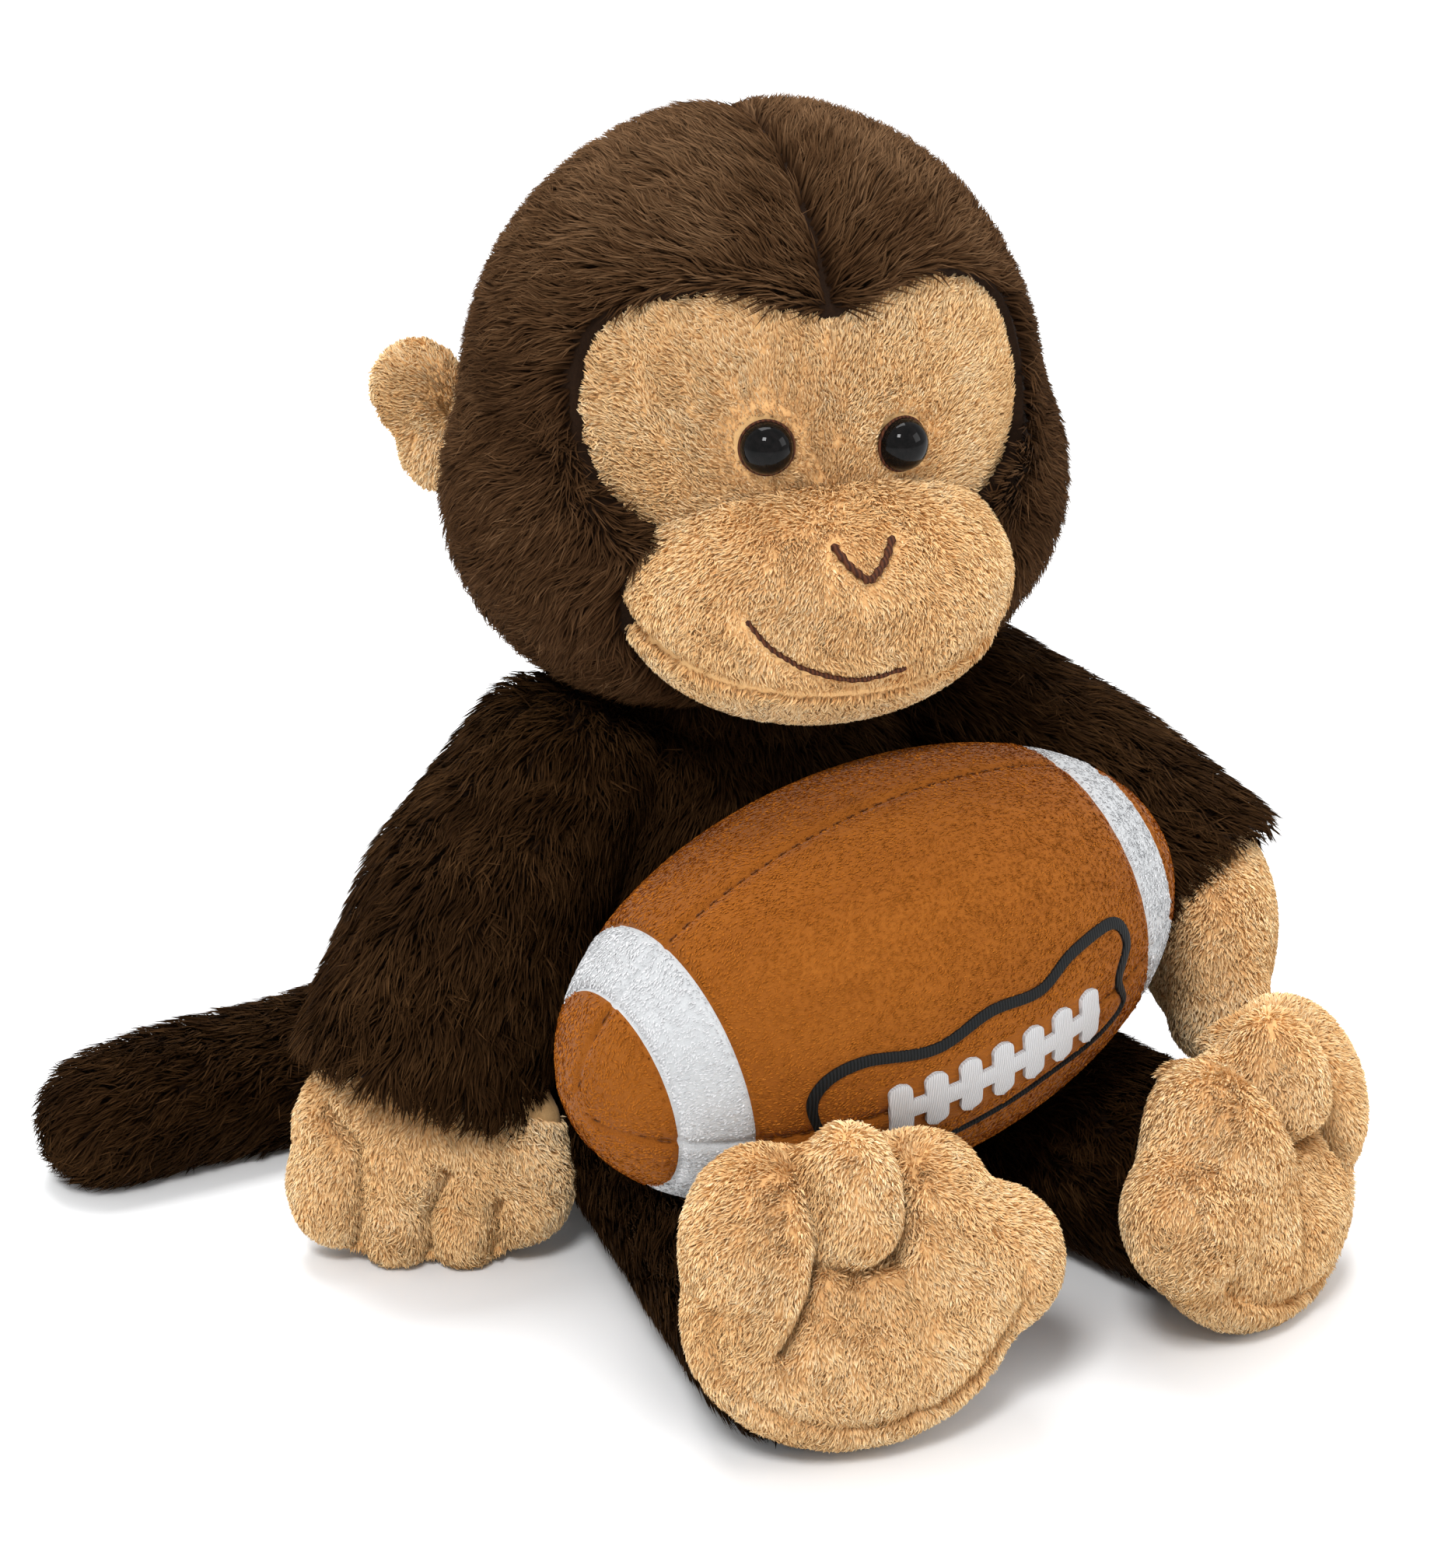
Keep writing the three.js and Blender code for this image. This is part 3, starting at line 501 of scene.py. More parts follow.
def ramp(made, stops, value):
    """A colour that runs through stops of (position, colour) as a value rises."""
    node = add(made, "ShaderNodeValToRGB")
    for element, (position, colour) in zip(node.color_ramp.elements, (stops[0], stops[-1])):
        element.position, element.color = position, (*colour, 1)
    for position, colour in stops[1:-1]:
        node.color_ramp.elements.new(position).color = (*colour, 1)
    made.node_tree.links.new(value, node.inputs[0])
    return node.outputs[0]


def strand_material(name, roots, tips):
    """Pile whose colour runs from its roots to its tips, in the tone of each strand."""
    made, shader = new_material(name)
    strand = add(made, "ShaderNodeUVMap", uv_map="OFBake")
    split = add(made, "ShaderNodeSeparateXYZ", {"Vector": strand.outputs["UV"]})
    low, high = (ramp(made, stops, split.outputs["X"]) for stops in (roots, tips))
    mix = add(made, "ShaderNodeMix", {"Factor": split.outputs["Y"], "A": low, "B": high}, data_type="RGBA")
    feed(shader, {"Base Color": mix.outputs["Result"], "Roughness": 0.75, "Specular IOR Level": 0.025})
    return made


MOTTLE_SCALE = 90
MOTTLE_SHARE = 0.55  # how much of the mottling is the fine kind


def cloth_material(name, dark, light, pitch, sheen=0.05, bump=0.25, nap=1.0):
    """Cloth mottled at two sizes, with a fine uneven surface. A nap under 1 draws it out along X."""
    made, shader = new_material(name)
    where = add(made, "ShaderNodeTexCoord").outputs["Object"]
    drawn_out = add(made, "ShaderNodeMapping", {"Scale": (nap, 1, 1), "Vector": where}).outputs["Vector"]
    coarse = add(made, "ShaderNodeTexNoise", {"Scale": MOTTLE_SCALE, "Detail": 5, "Vector": drawn_out})
    fine = add(made, "ShaderNodeTexNoise", {
        "Scale": pitch, "Detail": 4, "Roughness": 0.7, "Vector": drawn_out,
    }).outputs["Fac"]
    both = add(made, "ShaderNodeMix", {
        "Factor": MOTTLE_SHARE, "A": coarse.outputs["Fac"], "B": fine,
    }, data_type="FLOAT")
    rough = add(made, "ShaderNodeMapRange", {"To Min": 0.8, "To Max": 0.95, "Value": fine})
    uneven = add(made, "ShaderNodeBump", {"Strength": bump, "Distance": 0.0006, "Height": fine})
    feed(shader, {
        "Base Color": ramp(made, [(0.3, dark), (0.7, light)], both.outputs["Result"]),
        "Roughness": rough.outputs["Result"],
        "Normal": uneven.outputs["Normal"],
        "Specular IOR Level": 0.08,
        "Sheen Weight": sheen,
        "Sheen Roughness": 0.35,
    })
    return made


def thread_material(name, dark, light, pitch):
    """Satin stitches side by side."""
    made, shader = new_material(name)
    where = add(made, "ShaderNodeTexCoord").outputs["Object"]
    stitches = add(made, "ShaderNodeTexWave", {
        "Scale": pitch, "Distortion": 1.2, "Detail": 2, "Vector": where,
    }, bands_direction="X").outputs["Fac"]
    uneven = add(made, "ShaderNodeBump", {"Strength": 0.4, "Distance": 0.0002, "Height": stitches})
    feed(shader, {
        "Base Color": ramp(made, [(0.1, dark), (0.8, light)], stitches),
        "Normal": uneven.outputs["Normal"],
        "Roughness": 0.6,
        "Specular IOR Level": 0.15,
    })
    return made


def eye_material():
    """Polished black plastic."""
    made, shader = new_material("eye_black")
    where = add(made, "ShaderNodeTexCoord").outputs["Object"]
    specks = add(made, "ShaderNodeTexNoise", {"Scale": 900, "Vector": where}).outputs["Fac"]
    black = ramp(made, [(0.35, (0.002, 0.002, 0.002)), (0.75, (0.006, 0.005, 0.005))], specks)
    feed(shader, {"Base Color": black, "Roughness": 0.05, "Specular IOR Level": 0.12})
    return made


HEAD_BROWN = strand_material(
    "head_brown_pile",
    [(0, (0.008, 0.003, 0.0011)), (1, (0.028, 0.012, 0.0048))],
    [(0, (0.038, 0.017, 0.0062)), (0.5, (0.092, 0.045, 0.019)), (1, (0.21, 0.117, 0.058))],
)
BODY_BROWN = strand_material(
    "body_brown_pile",
    [(0, (0.004, 0.0016, 0.0006)), (1, (0.014, 0.006, 0.0022))],
    [(0, (0.014, 0.0058, 0.0017)), (0.5, (0.036, 0.016, 0.0052)), (1, (0.088, 0.043, 0.016))],
)
TAN = strand_material(
    "tan_pile",
    [(0, (0.66, 0.37, 0.145)), (1, (0.88, 0.58, 0.28))],
    [(0, (0.80, 0.50, 0.22)), (0.5, (0.97, 0.71, 0.39)), (1, (1.0, 0.88, 0.64))],
)
BALL_PILE = strand_material(
    "ball_pile",
    [(0, (0.30, 0.088, 0.0095)), (1, (0.36, 0.112, 0.014))],
    [(0, (0.33, 0.100, 0.011)), (0.5, (0.38, 0.122, 0.016)), (1, (0.45, 0.155, 0.024))],
)
WHITE_PILE = strand_material(
    "white_pile",
    [(0, (0.62, 0.62, 0.63)), (1, (0.68, 0.68, 0.69))],
    [(0, (0.64, 0.64, 0.65)), (0.5, (0.69, 0.69, 0.70)), (1, (0.74, 0.74, 0.75))],
)
BROWN_CLOTH = cloth_material("brown_backing", (0.006, 0.0026, 0.001), (0.02, 0.009, 0.004), 1500)
TAN_CLOTH = cloth_material("tan_backing", (0.66, 0.38, 0.155), (0.86, 0.56, 0.26), 1300)
BALL_CLOTH = cloth_material("ball_cloth", (0.20, 0.056, 0.006), (0.31, 0.098, 0.012), 1500, 0.12, 0.75, 0.3)
WHITE_CLOTH = cloth_material("white_cloth", (0.44, 0.45, 0.46), (0.56, 0.57, 0.58), 1500, 0.1, 0.7, 0.3)
BROWN_THREAD = thread_material("brown_thread", (0.030, 0.008, 0.003), (0.085, 0.026, 0.010), 420)
BLACK_THREAD = thread_material("black_thread", (0.002, 0.0025, 0.0025), (0.010, 0.011, 0.012), 520)
WHITE_THREAD = thread_material("white_thread", (0.40, 0.40, 0.41), (0.56, 0.56, 0.57), 700)
SEAM_THREAD = thread_material("seam_thread", (0.07, 0.020, 0.003), (0.16, 0.050, 0.008), 300)
EYE_BLACK = eye_material()


def dress(piece, material, body, nodes=()):
    """Gives a piece its finish, the body that it rides on and the solids that it stands for."""
    piece.data.materials.clear()
    piece.data.materials.append(material)
    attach(piece, body)
    if nodes:
        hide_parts(*nodes)
    return piece


# ---- Shared shapes ----
def between(a, b, c, d, t):
    """The place a share t of the way from b to c, on the smooth line through all four."""
    return 0.5 * (2 * b + (c - a) * t + (2 * a - 5 * b + 4 * c - d) * t * t + (3 * b - a - 3 * c + d) * t**3)


def smooth_loop(corners, count):
    """A closed smooth line through corners, as count points."""
    corners = np.array(corners, float)
    total = len(corners)
    line = []
    for step in np.linspace(0, total, count, endpoint=False):
        i, t = int(step), step - int(step)
        a, b, c, d = (corners[(i + k) % total] for k in (-1, 0, 1, 2))
        line.append(between(a, b, c, d, t))
    return np.array(line)


def smooth_run(corners, count):
    """An open smooth line through corners, as count points."""
    corners = np.array(corners, float)
    ends = np.vstack([2 * corners[0] - corners[1], corners, 2 * corners[-1] - corners[-2]])
    line = []
    for step in np.linspace(0, len(corners) - 1, count):
        i = min(int(step), len(corners) - 2)
        t = step - i
        a, b, c, d = ends[i : i + 4]
        line.append(between(a, b, c, d, t))
    return np.array(line)


def within(loop, across, up):
    """Which (across, up) pairs lie within a closed line."""
    result = np.zeros(len(across), bool)
    for (x0, y0), (x1, y1) in zip(loop, np.roll(loop, -1, axis=0)):
        beside = across < (x1 - x0) * (up - y0) / (y1 - y0 + 1e-12) + x0
        result ^= ((y0 > up) != (y1 > up)) & beside
    return result


def face_outline(edge=0.0):
    """The face's edge seen from the front, moved outwards by edge mm."""
    other = [(-x, z) for x, z in FACE_HALF[1:-1][::-1]]
    corners = np.array(FACE_HALF + other, float)
    corners *= 1 + edge / np.linalg.norm(corners, axis=1, keepdims=True)
    return smooth_loop(corners, 60)


def locally(places, group_place):
    """Places in mm in a group's own frame."""
    turn = np.array(group_place.inverted().to_3x3())
    return (places @ turn.T + np.array(group_place.inverted().translation)) / MM


def turned(vectors, group_place):
    return vectors @ np.array(group_place.to_3x3()).T


def on_muzzle(across, up, proud=0.0):
    """The muzzle's front at a place across and up it, in mm."""
    wide, deep, tall = MUZZLE_SIZE
    share = max(0.0, 1 - (across / wide) ** 2 - ((up - MUZZLE_AT.z) / tall) ** 2)
    return Vector((across, MUZZLE_AT.y - (deep + proud) * math.sqrt(share), up))


def in_ball(places, grow=1.0):
    return inside(places, BALL, (0, 0, 0), (BALL_HALF, BALL_RADIUS, BALL_RADIUS), grow)


FOOT_ROOM = (31, 14, 26)


def in_foot(side, grow=0.0):
    """Whether places lie in the room that the leg's pile leaves for the foot."""
    return lambda places: inside(places, foot_place(side), (0, 0, 0), FOOT_ROOM, grow)


def foot_place(side):
    at, turn = FEET[side]
    lean = Euler((math.radians(FOOT_LEAN), 0, math.radians(turn))).to_matrix().to_4x4()
    return Matrix.Translation(at * MM) @ lean


def paw_place(side):
    at, turn = PAWS[side]
    return Matrix.Translation(at * MM) @ Matrix.Rotation(math.radians(turn), 4, "Z")


def along_limb(path):
    """The way the pile lies on a limb: along it, from its first place to its last."""
    path = [np.array(at, float) * MM for at in path]

    def flow(places, out):
        nearest, way = np.full(len(places), np.inf), np.zeros((len(places), 3))
        for start, end in zip(path, path[1:]):
            run = end - start
            share = np.clip((places - start) @ run / (run @ run), 0, 1)
            gap = np.linalg.norm(places - start - share[:, None] * run, axis=1)
            closer = gap < nearest
            way[closer] = run / np.linalg.norm(run)
            nearest = np.minimum(nearest, gap)
        return way + np.array((0, 0, -0.25))

    return flow


# ---- Torso and neck ----
def make_torso():
    deselect()
    bpy.ops.mesh.primitive_circle_add(vertices=48, radius=TORSO_LEVELS[0][1] * MM, fill_type="NGON")
    skin = bpy.context.object
    bpy.ops.object.mode_set(mode="EDIT")
    bpy.ops.mesh.select_all(action="SELECT")
    for (low, radius), (high, wider) in zip(TORSO_LEVELS, TORSO_LEVELS[1:]):
        bpy.ops.mesh.extrude_region_move(TRANSFORM_OT_translate={"value": (0, 0, (high - low) * MM)})
        bpy.ops.transform.resize(value=(wider / radius, wider / radius, 1))
    bpy.ops.mesh.select_all(action="SELECT")
    bpy.ops.transform.resize(value=(1, TORSO_DEPTH, 1), center_override=(0, 0, 0))
    bpy.ops.mesh.normals_make_consistent(inside=False)
    bpy.ops.object.mode_set(mode="OBJECT")
    skin = sewn("torso_skin", [skin], 4, 4)
    middle = [(0, -45 if z < 60 else -35, z) for z in (4, 30, 60, 95)]
    stuff(skin, [middle], 2)
    crease(skin, middle, 1.5, 3)
    refine(skin)
    above_floor(skin, SKIN_FLOOR)
    dress(
        skin, BROWN_CLOTH, "torso",
        ("torso_front", "torso_back", "seat_panel", "torso_stuffing", "pellet_bag"),
    )

    def showing(places):
        hidden = np.zeros(len(places), bool)
        for side in SIDES:
            hidden |= inside(places, Matrix.Identity(4), SHOULDERS[side], (SHOULDER_RADIUS,) * 3, -2)
            hidden |= inside(places, Matrix.Identity(4), ELBOWS[side], (ELBOW_RADIUS,) * 3, -1)
            hidden |= inside(places, Matrix.Identity(4), HIPS[side], (HIP_RADIUS,) * 3, -7)
        hidden |= inside(places, Matrix.Identity(4), TAIL_ROOT, (TAIL_RADII[0],) * 3, -2)
        hidden |= inside(places, HEAD, (0, 0, 0), (CRANIUM_RADIUS,) * 3, -1)
        return ~hidden & (places[:, 2] > 1.5 * MM)

    def downwards(places, out):
        return np.array((0, 0, -1.0)) + 0.25 * out * np.array((1, 1, 0))

    for name, half in (("torso_front_pile", -1), ("torso_back_pile", 1)):
        strands = pile(
            name, skin, "body", downwards, 11 + half,
            keep=lambda places, half=half: showing(places) & (places[:, 1] * half > 0), floor=0.3,
        )
        dress(strands, BODY_BROWN, "torso")


def make_neck():
    deselect()
    bpy.ops.mesh.primitive_torus_add(
        location=NECK * MM, major_radius=16 * MM, minor_radius=5 * MM, major_segments=40, minor_segments=14
    )
    ring = bpy.context.object
    ring.name = "neck_skin"
    bpy.ops.object.transform_apply(location=True, rotation=True, scale=True)
    places = points(ring)
    angle = np.arctan2(places[:, 1] - NECK.y * MM, places[:, 0])
    middle = np.array(NECK) * MM
    places = middle + (places - middle) * (1 + 0.02 * np.sin(9 * angle))[:, None]
    move_points(ring, places)
    refine(ring)
    dress(ring, BROWN_CLOTH, "neck", ("neck_seam_ring",))
    strands = pile(
        "neck_pile", ring, "body", lambda places, out: out * (1, 1, 0) * 0.3 - np.array((0, 0, 1.0)), 21,
        keep=lambda places: np.linalg.norm((places - middle)[:, :2], axis=1) > 15 * MM,
    )
    dress(strands, BODY_BROWN, "neck")


# ---- Head ----
DIP = np.array((0.0, -52.0, 20.0))  # the place above the face that the crown's pile runs out from


def face_gap(local):
    """How far each place in the head's frame is from the edge of the face, seen from the front, in mm."""
    gap = np.min([np.hypot(local[:, 0] - x, local[:, 2] - z) for x, z in face_outline()[::2]], axis=0)
    return np.where(local[:, 1] < 0, gap, np.inf)


def crown_flow(places, out):
    """Up and out from the dip over the face, then down the cheeks, curling in over the face's edge."""
    local = locally(places, HEAD)
    from_dip = unit(local - DIP)
    side = np.sign(local[:, :1]) * np.exp(-((local[:, :1] / 14) ** 2)) * np.array((1.0, 0, 0))
    low = np.clip((-local[:, 2:3] - 5) / 30, 0, 1)
    cheek = low * np.array((0, 0.15, -0.75)) + low * np.sign(local[:, :1]) * np.array((0.35, 0, 0))
    near = np.exp(-((face_gap(local) / 5) ** 2))[:, None] * np.array((1, 0, 1))
    lower = np.clip((12 - local[:, 2:3]) / 20, 0, 1)
    inwards = -unit(local * np.array((1, 0, 1))) * near * (0.9 + 1.6 * lower)
    return turned(from_dip + 0.7 * side + cheek + inwards, HEAD)


def make_head():
    forms = [egg((0, 0, 0), (CRANIUM_RADIUS,) * 3, segments=64, rings=48)]
    for side in (-1, 1):
        forms.append(egg((side * CHEEK["out"], *CHEEK["at"]), CHEEK["size"]))
    skin = sewn("head_skin", forms, 3.4, 8)
    parting = [
        (0, -CRANIUM_RADIUS * math.cos(a), CRANIUM_RADIUS * math.sin(a))
        for a in np.radians([40, 60, 80, 100, 130, 160, 185])
    ]
    back = [(52 * math.sin(a), 15, 52 * math.cos(a)) for a in np.radians(np.arange(-120, 121, 20))]
    stuff(skin, [parting, back], 1.2)
    crease(skin, parting, 1.3, 5)
    crease(skin, back, 1.0, 2.5)
    refine(skin)
    places = points(skin)
    loop = face_outline(-0.5)
    front = within(loop, places[:, 0] / MM, places[:, 2] / MM) & (places[:, 1] < 0)
    radius = np.linalg.norm(places, axis=1)
    sunk = np.minimum(radius, (FACE_RADIUS - 3) * MM)
    places[front] *= (sunk / radius)[front, None]
    move_points(skin, places)
    settle(skin, HEAD)
    dress(
        skin, BROWN_CLOTH, "head",
        ("head_right_panel", "head_left_panel", "head_back_panel", "head_stuffing"),
    )

    def on_crown(places):
        local = locally(places, HEAD)
        face = within(face_outline(0.2), local[:, 0], local[:, 2]) & (local[:, 1] < 0)
        return ~(face | inside(places, HEAD, MUZZLE_AT, MUZZLE_SIZE, 0.6))

    def shorter_by_face(places):
        return 0.8 + 0.2 * np.clip(face_gap(locally(places, HEAD)) / 12, 0, 1)

    # Painted light and shade: the pile is lighter towards the crown and darker lower on the head, as light
    # from above falls, and darker along the parting's crease.
    def crown_light_and_parting_shade(places):
        local = locally(places, HEAD)
        line = np.exp(-((local[:, 0] / 5) ** 2)) * (local[:, 2] > 20)
        return 0.2 * np.clip((local[:, 2] - 30) / 20, -0.8, 1) - 0.14 * line

    in_sector = {
        "head_right_pile": lambda local: (local[:, 0] < 0) & (local[:, 1] < 8),
        "head_left_pile": lambda local: (local[:, 0] >= 0) & (local[:, 1] < 8),
        "head_back_pile": lambda local: local[:, 1] >= 8,
    }
    for index, (name, sector) in enumerate(in_sector.items()):
        strands = pile(
            name, skin, "long", crown_flow, 31 + index,
            keep=lambda places, sector=sector: sector(locally(places, HEAD)) & on_crown(places),
            tone=crown_light_and_parting_shade, length=shorter_by_face, avoid=lambda tips: in_ball(tips, 0.6),
        )
        dress(strands, HEAD_BROWN, "head")


def face_flow(places, out):
    """The face's pile runs up and out from under the muzzle's top."""
    local = locally(places, HEAD)
    away = local - np.array((0.0, -50.0, -22.0))
    return turned(unit(away) + np.array((0, 0, -0.25)), HEAD)


def eye_gap(local):
    """How far each place in the head's frame is from the middle of an eye, seen from the front, in mm."""
    return np.min([np.hypot(local[:, 0] - x, local[:, 2] - z) for x, z in EYE_PLACES.values()], axis=0)


def make_face():
    skin = egg((0, 0, 0), (FACE_RADIUS,) * 3, segments=96, rings=72)
    skin.name = "face_skin"
    places = points(skin)
    loop = face_outline(1.6)
    outside = ~(within(loop, places[:, 0] / MM, places[:, 2] / MM) & (places[:, 1] < 0))
    pick(skin)
    bpy.ops.object.mode_set(mode="EDIT")
    bpy.ops.mesh.select_all(action="DESELECT")
    bpy.ops.object.mode_set(mode="OBJECT")
    skin.data.vertices.foreach_set("select", outside)
    bpy.ops.object.mode_set(mode="EDIT")
    bpy.ops.mesh.delete(type="VERT")
    bpy.ops.object.mode_set(mode="OBJECT")
    for across, up in EYE_PLACES.values():
        deep = math.sqrt(FACE_RADIUS**2 - across**2 - up**2)
        crease(skin, [(across, -deep, up), (across * 1.01, -deep, up)], 1.6, 6)
    thick = skin.modifiers.new("thickness", "SOLIDIFY")
    thick.thickness = 2 * MM
    thick.offset = -1
    finish_modifier(skin, thick)
    refine(skin)
    settle(skin, HEAD)
    dress(skin, TAN_CLOTH, "head", ("face_patch",))

    def showing(places):
        local = locally(places, HEAD)
        outer = np.linalg.norm(local, axis=1) > FACE_RADIUS - 1.4
        outer &= within(face_outline(0.7), local[:, 0], local[:, 2])
        outer &= eye_gap(local) > EYE["radius"] + 0.2
        return outer & ~inside(places, HEAD, MUZZLE_AT, MUZZLE_SIZE, -0.5)

    def flat_by_eyes(places):
        gap = eye_gap(locally(places, HEAD))
        return 0.5 + 0.5 * np.clip((gap - EYE["radius"]) / 5, 0, 1)

    strands = pile("face_pile", skin, "tan", face_flow, 41, keep=showing, length=flat_by_eyes)
    dress(strands, TAN, "head")


def muzzle_form():
    form = egg(MUZZLE_AT, MUZZLE_SIZE, segments=72, rings=48)
    lip = [
        (x, y, LIP["through"].z + math.tan(math.radians(LIP["tilt"])) * (y - LIP["through"].y))
        for x, y in (
            (MUZZLE_SIZE.x * math.sin(a), MUZZLE_AT.y - MUZZLE_SIZE.y * math.cos(a))
            for a in np.radians(np.arange(-110, 111, 12))
        )
    ]
    form = sewn("muzzle_form", [form], 2.8, 3)
    stuff(form, [lip], 1.2)
    refine(form)
    crease(form, lip, 3.2, 2.2)
    return form


def muzzle_flow(places, out):
    """The muzzle's pile runs down and out from its top."""
    local = locally(places, HEAD)
    away = local - np.array((0.0, -52.0, 6.0))
    return turned(unit(away) + np.array((0, 0, -0.5)), HEAD)


def stroke_gap(local):
    strokes = [[on_muzzle(x, z) for x, z in stroke] for stroke in NOSE_STROKES + MOUTH_STROKES]
    return np.min([near_path(local, stroke) for stroke in strokes], axis=0)


def make_muzzle():
    form = muzzle_form()
    tilt = math.radians(LIP["tilt"])
    up = Vector((0, -math.sin(tilt), math.cos(tilt)))
    upper, chin = copy_of(form, "muzzle_skin"), copy_of(form, "chin_skin")
    bpy.data.objects.remove(form)
    cut(upper, LIP["through"] * MM, -up)
    cut(chin, LIP["through"] * MM, up)
    for skin, node, shade in ((upper, "muzzle_panel", -0.07), (chin, "chin_panel", 0.06)):
        settle(skin, HEAD)
        smooth(skin)
        dress(skin, TAN_CLOTH, "head", (node,))

        def showing(places, upwards=node == "muzzle_panel"):
            local = locally(places, HEAD)
            side = (local - np.array(LIP["through"])) @ np.array(up)
            own = side > 0.9 if upwards else side < -0.9
            return own & ~inside(places, HEAD, (0, 0, 0), (FACE_RADIUS,) * 3, -3) & (stroke_gap(local) > 0.75)

        def pressed(places):
            return 0.45 + 0.55 * np.clip((stroke_gap(locally(places, HEAD)) - 0.75) / 2.5, 0, 1)

        def muzzle_tone_and_lip_shade(places, shade=shade):
            local = locally(places, HEAD)
            front = np.exp(-((np.hypot(local[:, 0], local[:, 2] + 16) / 16) ** 2))
            seam = (local - np.array(LIP["through"])) @ np.array(up)
            # Darker in the middle of the muzzle's front, and painted shade: darker along the lip's crease.
            return shade - 0.1 * front - 0.4 * np.exp(-((seam / 2.4) ** 2))

        name = node.replace("_panel", "_pile")
        strands = pile(
            name, skin, "tan", muzzle_flow, 43, keep=showing, length=pressed, tone=muzzle_tone_and_lip_shade,
            avoid=lambda tips: in_ball(tips, 0.3),
        )
        dress(strands, TAN, "head")


def thread_run(name, runs, radius, group_place, material, body, nodes):
    """Embroidered thread along one or more runs, each of short twisted stitches."""
    pieces = []
    for run in runs:
        line = bpy.data.curves.new(name, "CURVE")
        line.dimensions = "3D"
        line.bevel_depth = radius * MM
        line.bevel_resolution = 3
        line.use_fill_caps = True
        spline = line.splines.new("POLY")
        spline.points.add(len(run) - 1)
        for i, (point, at) in enumerate(zip(spline.points, run)):
            point.co = (*(Vector(at) * MM), 1)
            point.radius = 0.8 + 0.2 * math.sin(i * 1.9) if 0 < i < len(run) - 1 else 0.5
        made = bpy.data.objects.new(name, line)
        bpy.context.scene.collection.objects.link(made)
        pick(made)
        bpy.ops.object.convert(target="MESH")
        pieces.append(bpy.context.object)
    deselect()
    for made in pieces:
        made.select_set(True)
    bpy.context.view_layer.objects.active = pieces[0]
    if len(pieces) > 1:
        bpy.ops.object.join()
    thread = bpy.context.object
    thread.name = name
    settle(thread, group_place)
    smooth(thread)
    return dress(thread, material, body, nodes)


def make_nose_and_mouth():
    nose = [smooth_run([on_muzzle(x, z, 0.9) for x, z in stroke], 16) for stroke in NOSE_STROKES]
    thread_run("nose_thread", nose, 0.85, HEAD, BROWN_THREAD, "head", ("nose_stitching",))
    mouth = [smooth_run([on_muzzle(x, z, 0.6) for x, z in stroke], 26) for stroke in MOUTH_STROKES]
    thread_run("mouth_thread", mouth, 0.55, HEAD, BROWN_THREAD, "head", ("mouth_stitching",))


def make_eyes():
    for side, (across, up) in EYE_PLACES.items():
        outward = Vector((across, -math.sqrt(FACE_RADIUS**2 - across**2 - up**2), up))
        seat = Matrix.Translation(outward * 1.0) @ outward.to_track_quat("Z", "Y").to_matrix().to_4x4()
        seat = HEAD @ Matrix.Diagonal((MM, MM, MM, 1)) @ seat @ Matrix.Diagonal((1 / MM, 1 / MM, 1 / MM, 1))
        dome = egg((0, 0, 0.4), (EYE["radius"], EYE["radius"], EYE["height"]), segments=48, rings=32)
        dome.name = f"eye_{side}_dome"
        cut(dome, Vector((0, 0, -1)) * MM, Vector((0, 0, -1)))
        smooth(dome, 50)
        settle(dome, seat)
        dress(dome, EYE_BLACK, "head", (f"eye_{side}", f"eye_washer_{side}"))
        deselect()
        bpy.ops.mesh.primitive_torus_add(
            location=(0, 0, 0.2 * MM), major_radius=(EYE["radius"] + 0.05) * MM, minor_radius=0.32 * MM,
            major_segments=48, minor_segments=12,
        )
        rim = bpy.context.object
        rim.name = f"eye_{side}_rim"
        bpy.ops.object.transform_apply(location=True, rotation=True, scale=True)
        bpy.ops.object.shade_smooth()
        settle(rim, seat)
        dress(rim, BROWN_THREAD, "head")


def make_ears():
    for side, (root, angle) in EARS.items():
        front = 1 if side == "right" else -1
        place = Matrix.Translation(root * MM) @ Matrix.Rotation(math.radians(angle), 4, "Z")
        forms = [
            egg((8, 0, 4), (9, 4.5, 9.5)),
            egg((5, -front * 1.0, -6), (7.5, 4, 10)),
        ]
        skin = sewn(f"ear_{side}_skin", forms, 1.8, 4)
        fold = [(17, front * 4, 1), (11, front * 4.5, -2), (3, front * 4.5, -5)]
        stuff(skin, [fold], 0.6, 1.5)
        refine(skin)
        crease(skin, fold, 2.4, 2.0)
        settle(skin, place)
        body = f"ear_{side}"
        dress(skin, TAN_CLOTH, body, (f"ear_{side}_front", f"ear_{side}_back"))

        def outwards(places, out, place=place):
            local = locally(places, place)
            return turned(unit(local - np.array((2.0, 0, 0))) + np.array((0, 0, -0.2)), place)

        # Painted shade: the pile is darker along the ear's fold.
        def fold_shade(places, place=place, fold=fold):
            return -0.3 * np.exp(-((near_path(locally(places, place), fold) / 1.8) ** 2))

        strands = pile(
            f"ear_{side}_pile", skin, "tan", outwards, 51, tone=fold_shade,
            keep=lambda places, place=place: locally(places, place)[:, 0] > -1,
        )
        dress(strands, TAN, body)


# ---- Arms and paws ----
PAW_FORMS = [
    ((0, 0, 2), (25, 13, 20)),
    ((-17, -1, -8), (9.5, 9, 12.5)),
    ((-6, -2.5, -13), (8.5, 9, 11)),
    ((6.5, -2.5, -13.5), (8.5, 9, 10.5)),
    ((16.5, -1, -7), (10.5, 9.5, 13)),
]
PAW_CREASES = [
    [(-20, -11, 12), (-12, -14, 4), (-12, -12, -8), (-13, -8, -19)],
    [(4, -14, -1), (0.5, -12, -10), (0, -9, -22)],
    [(13, -12, -8), (12, -8, -19)],
]


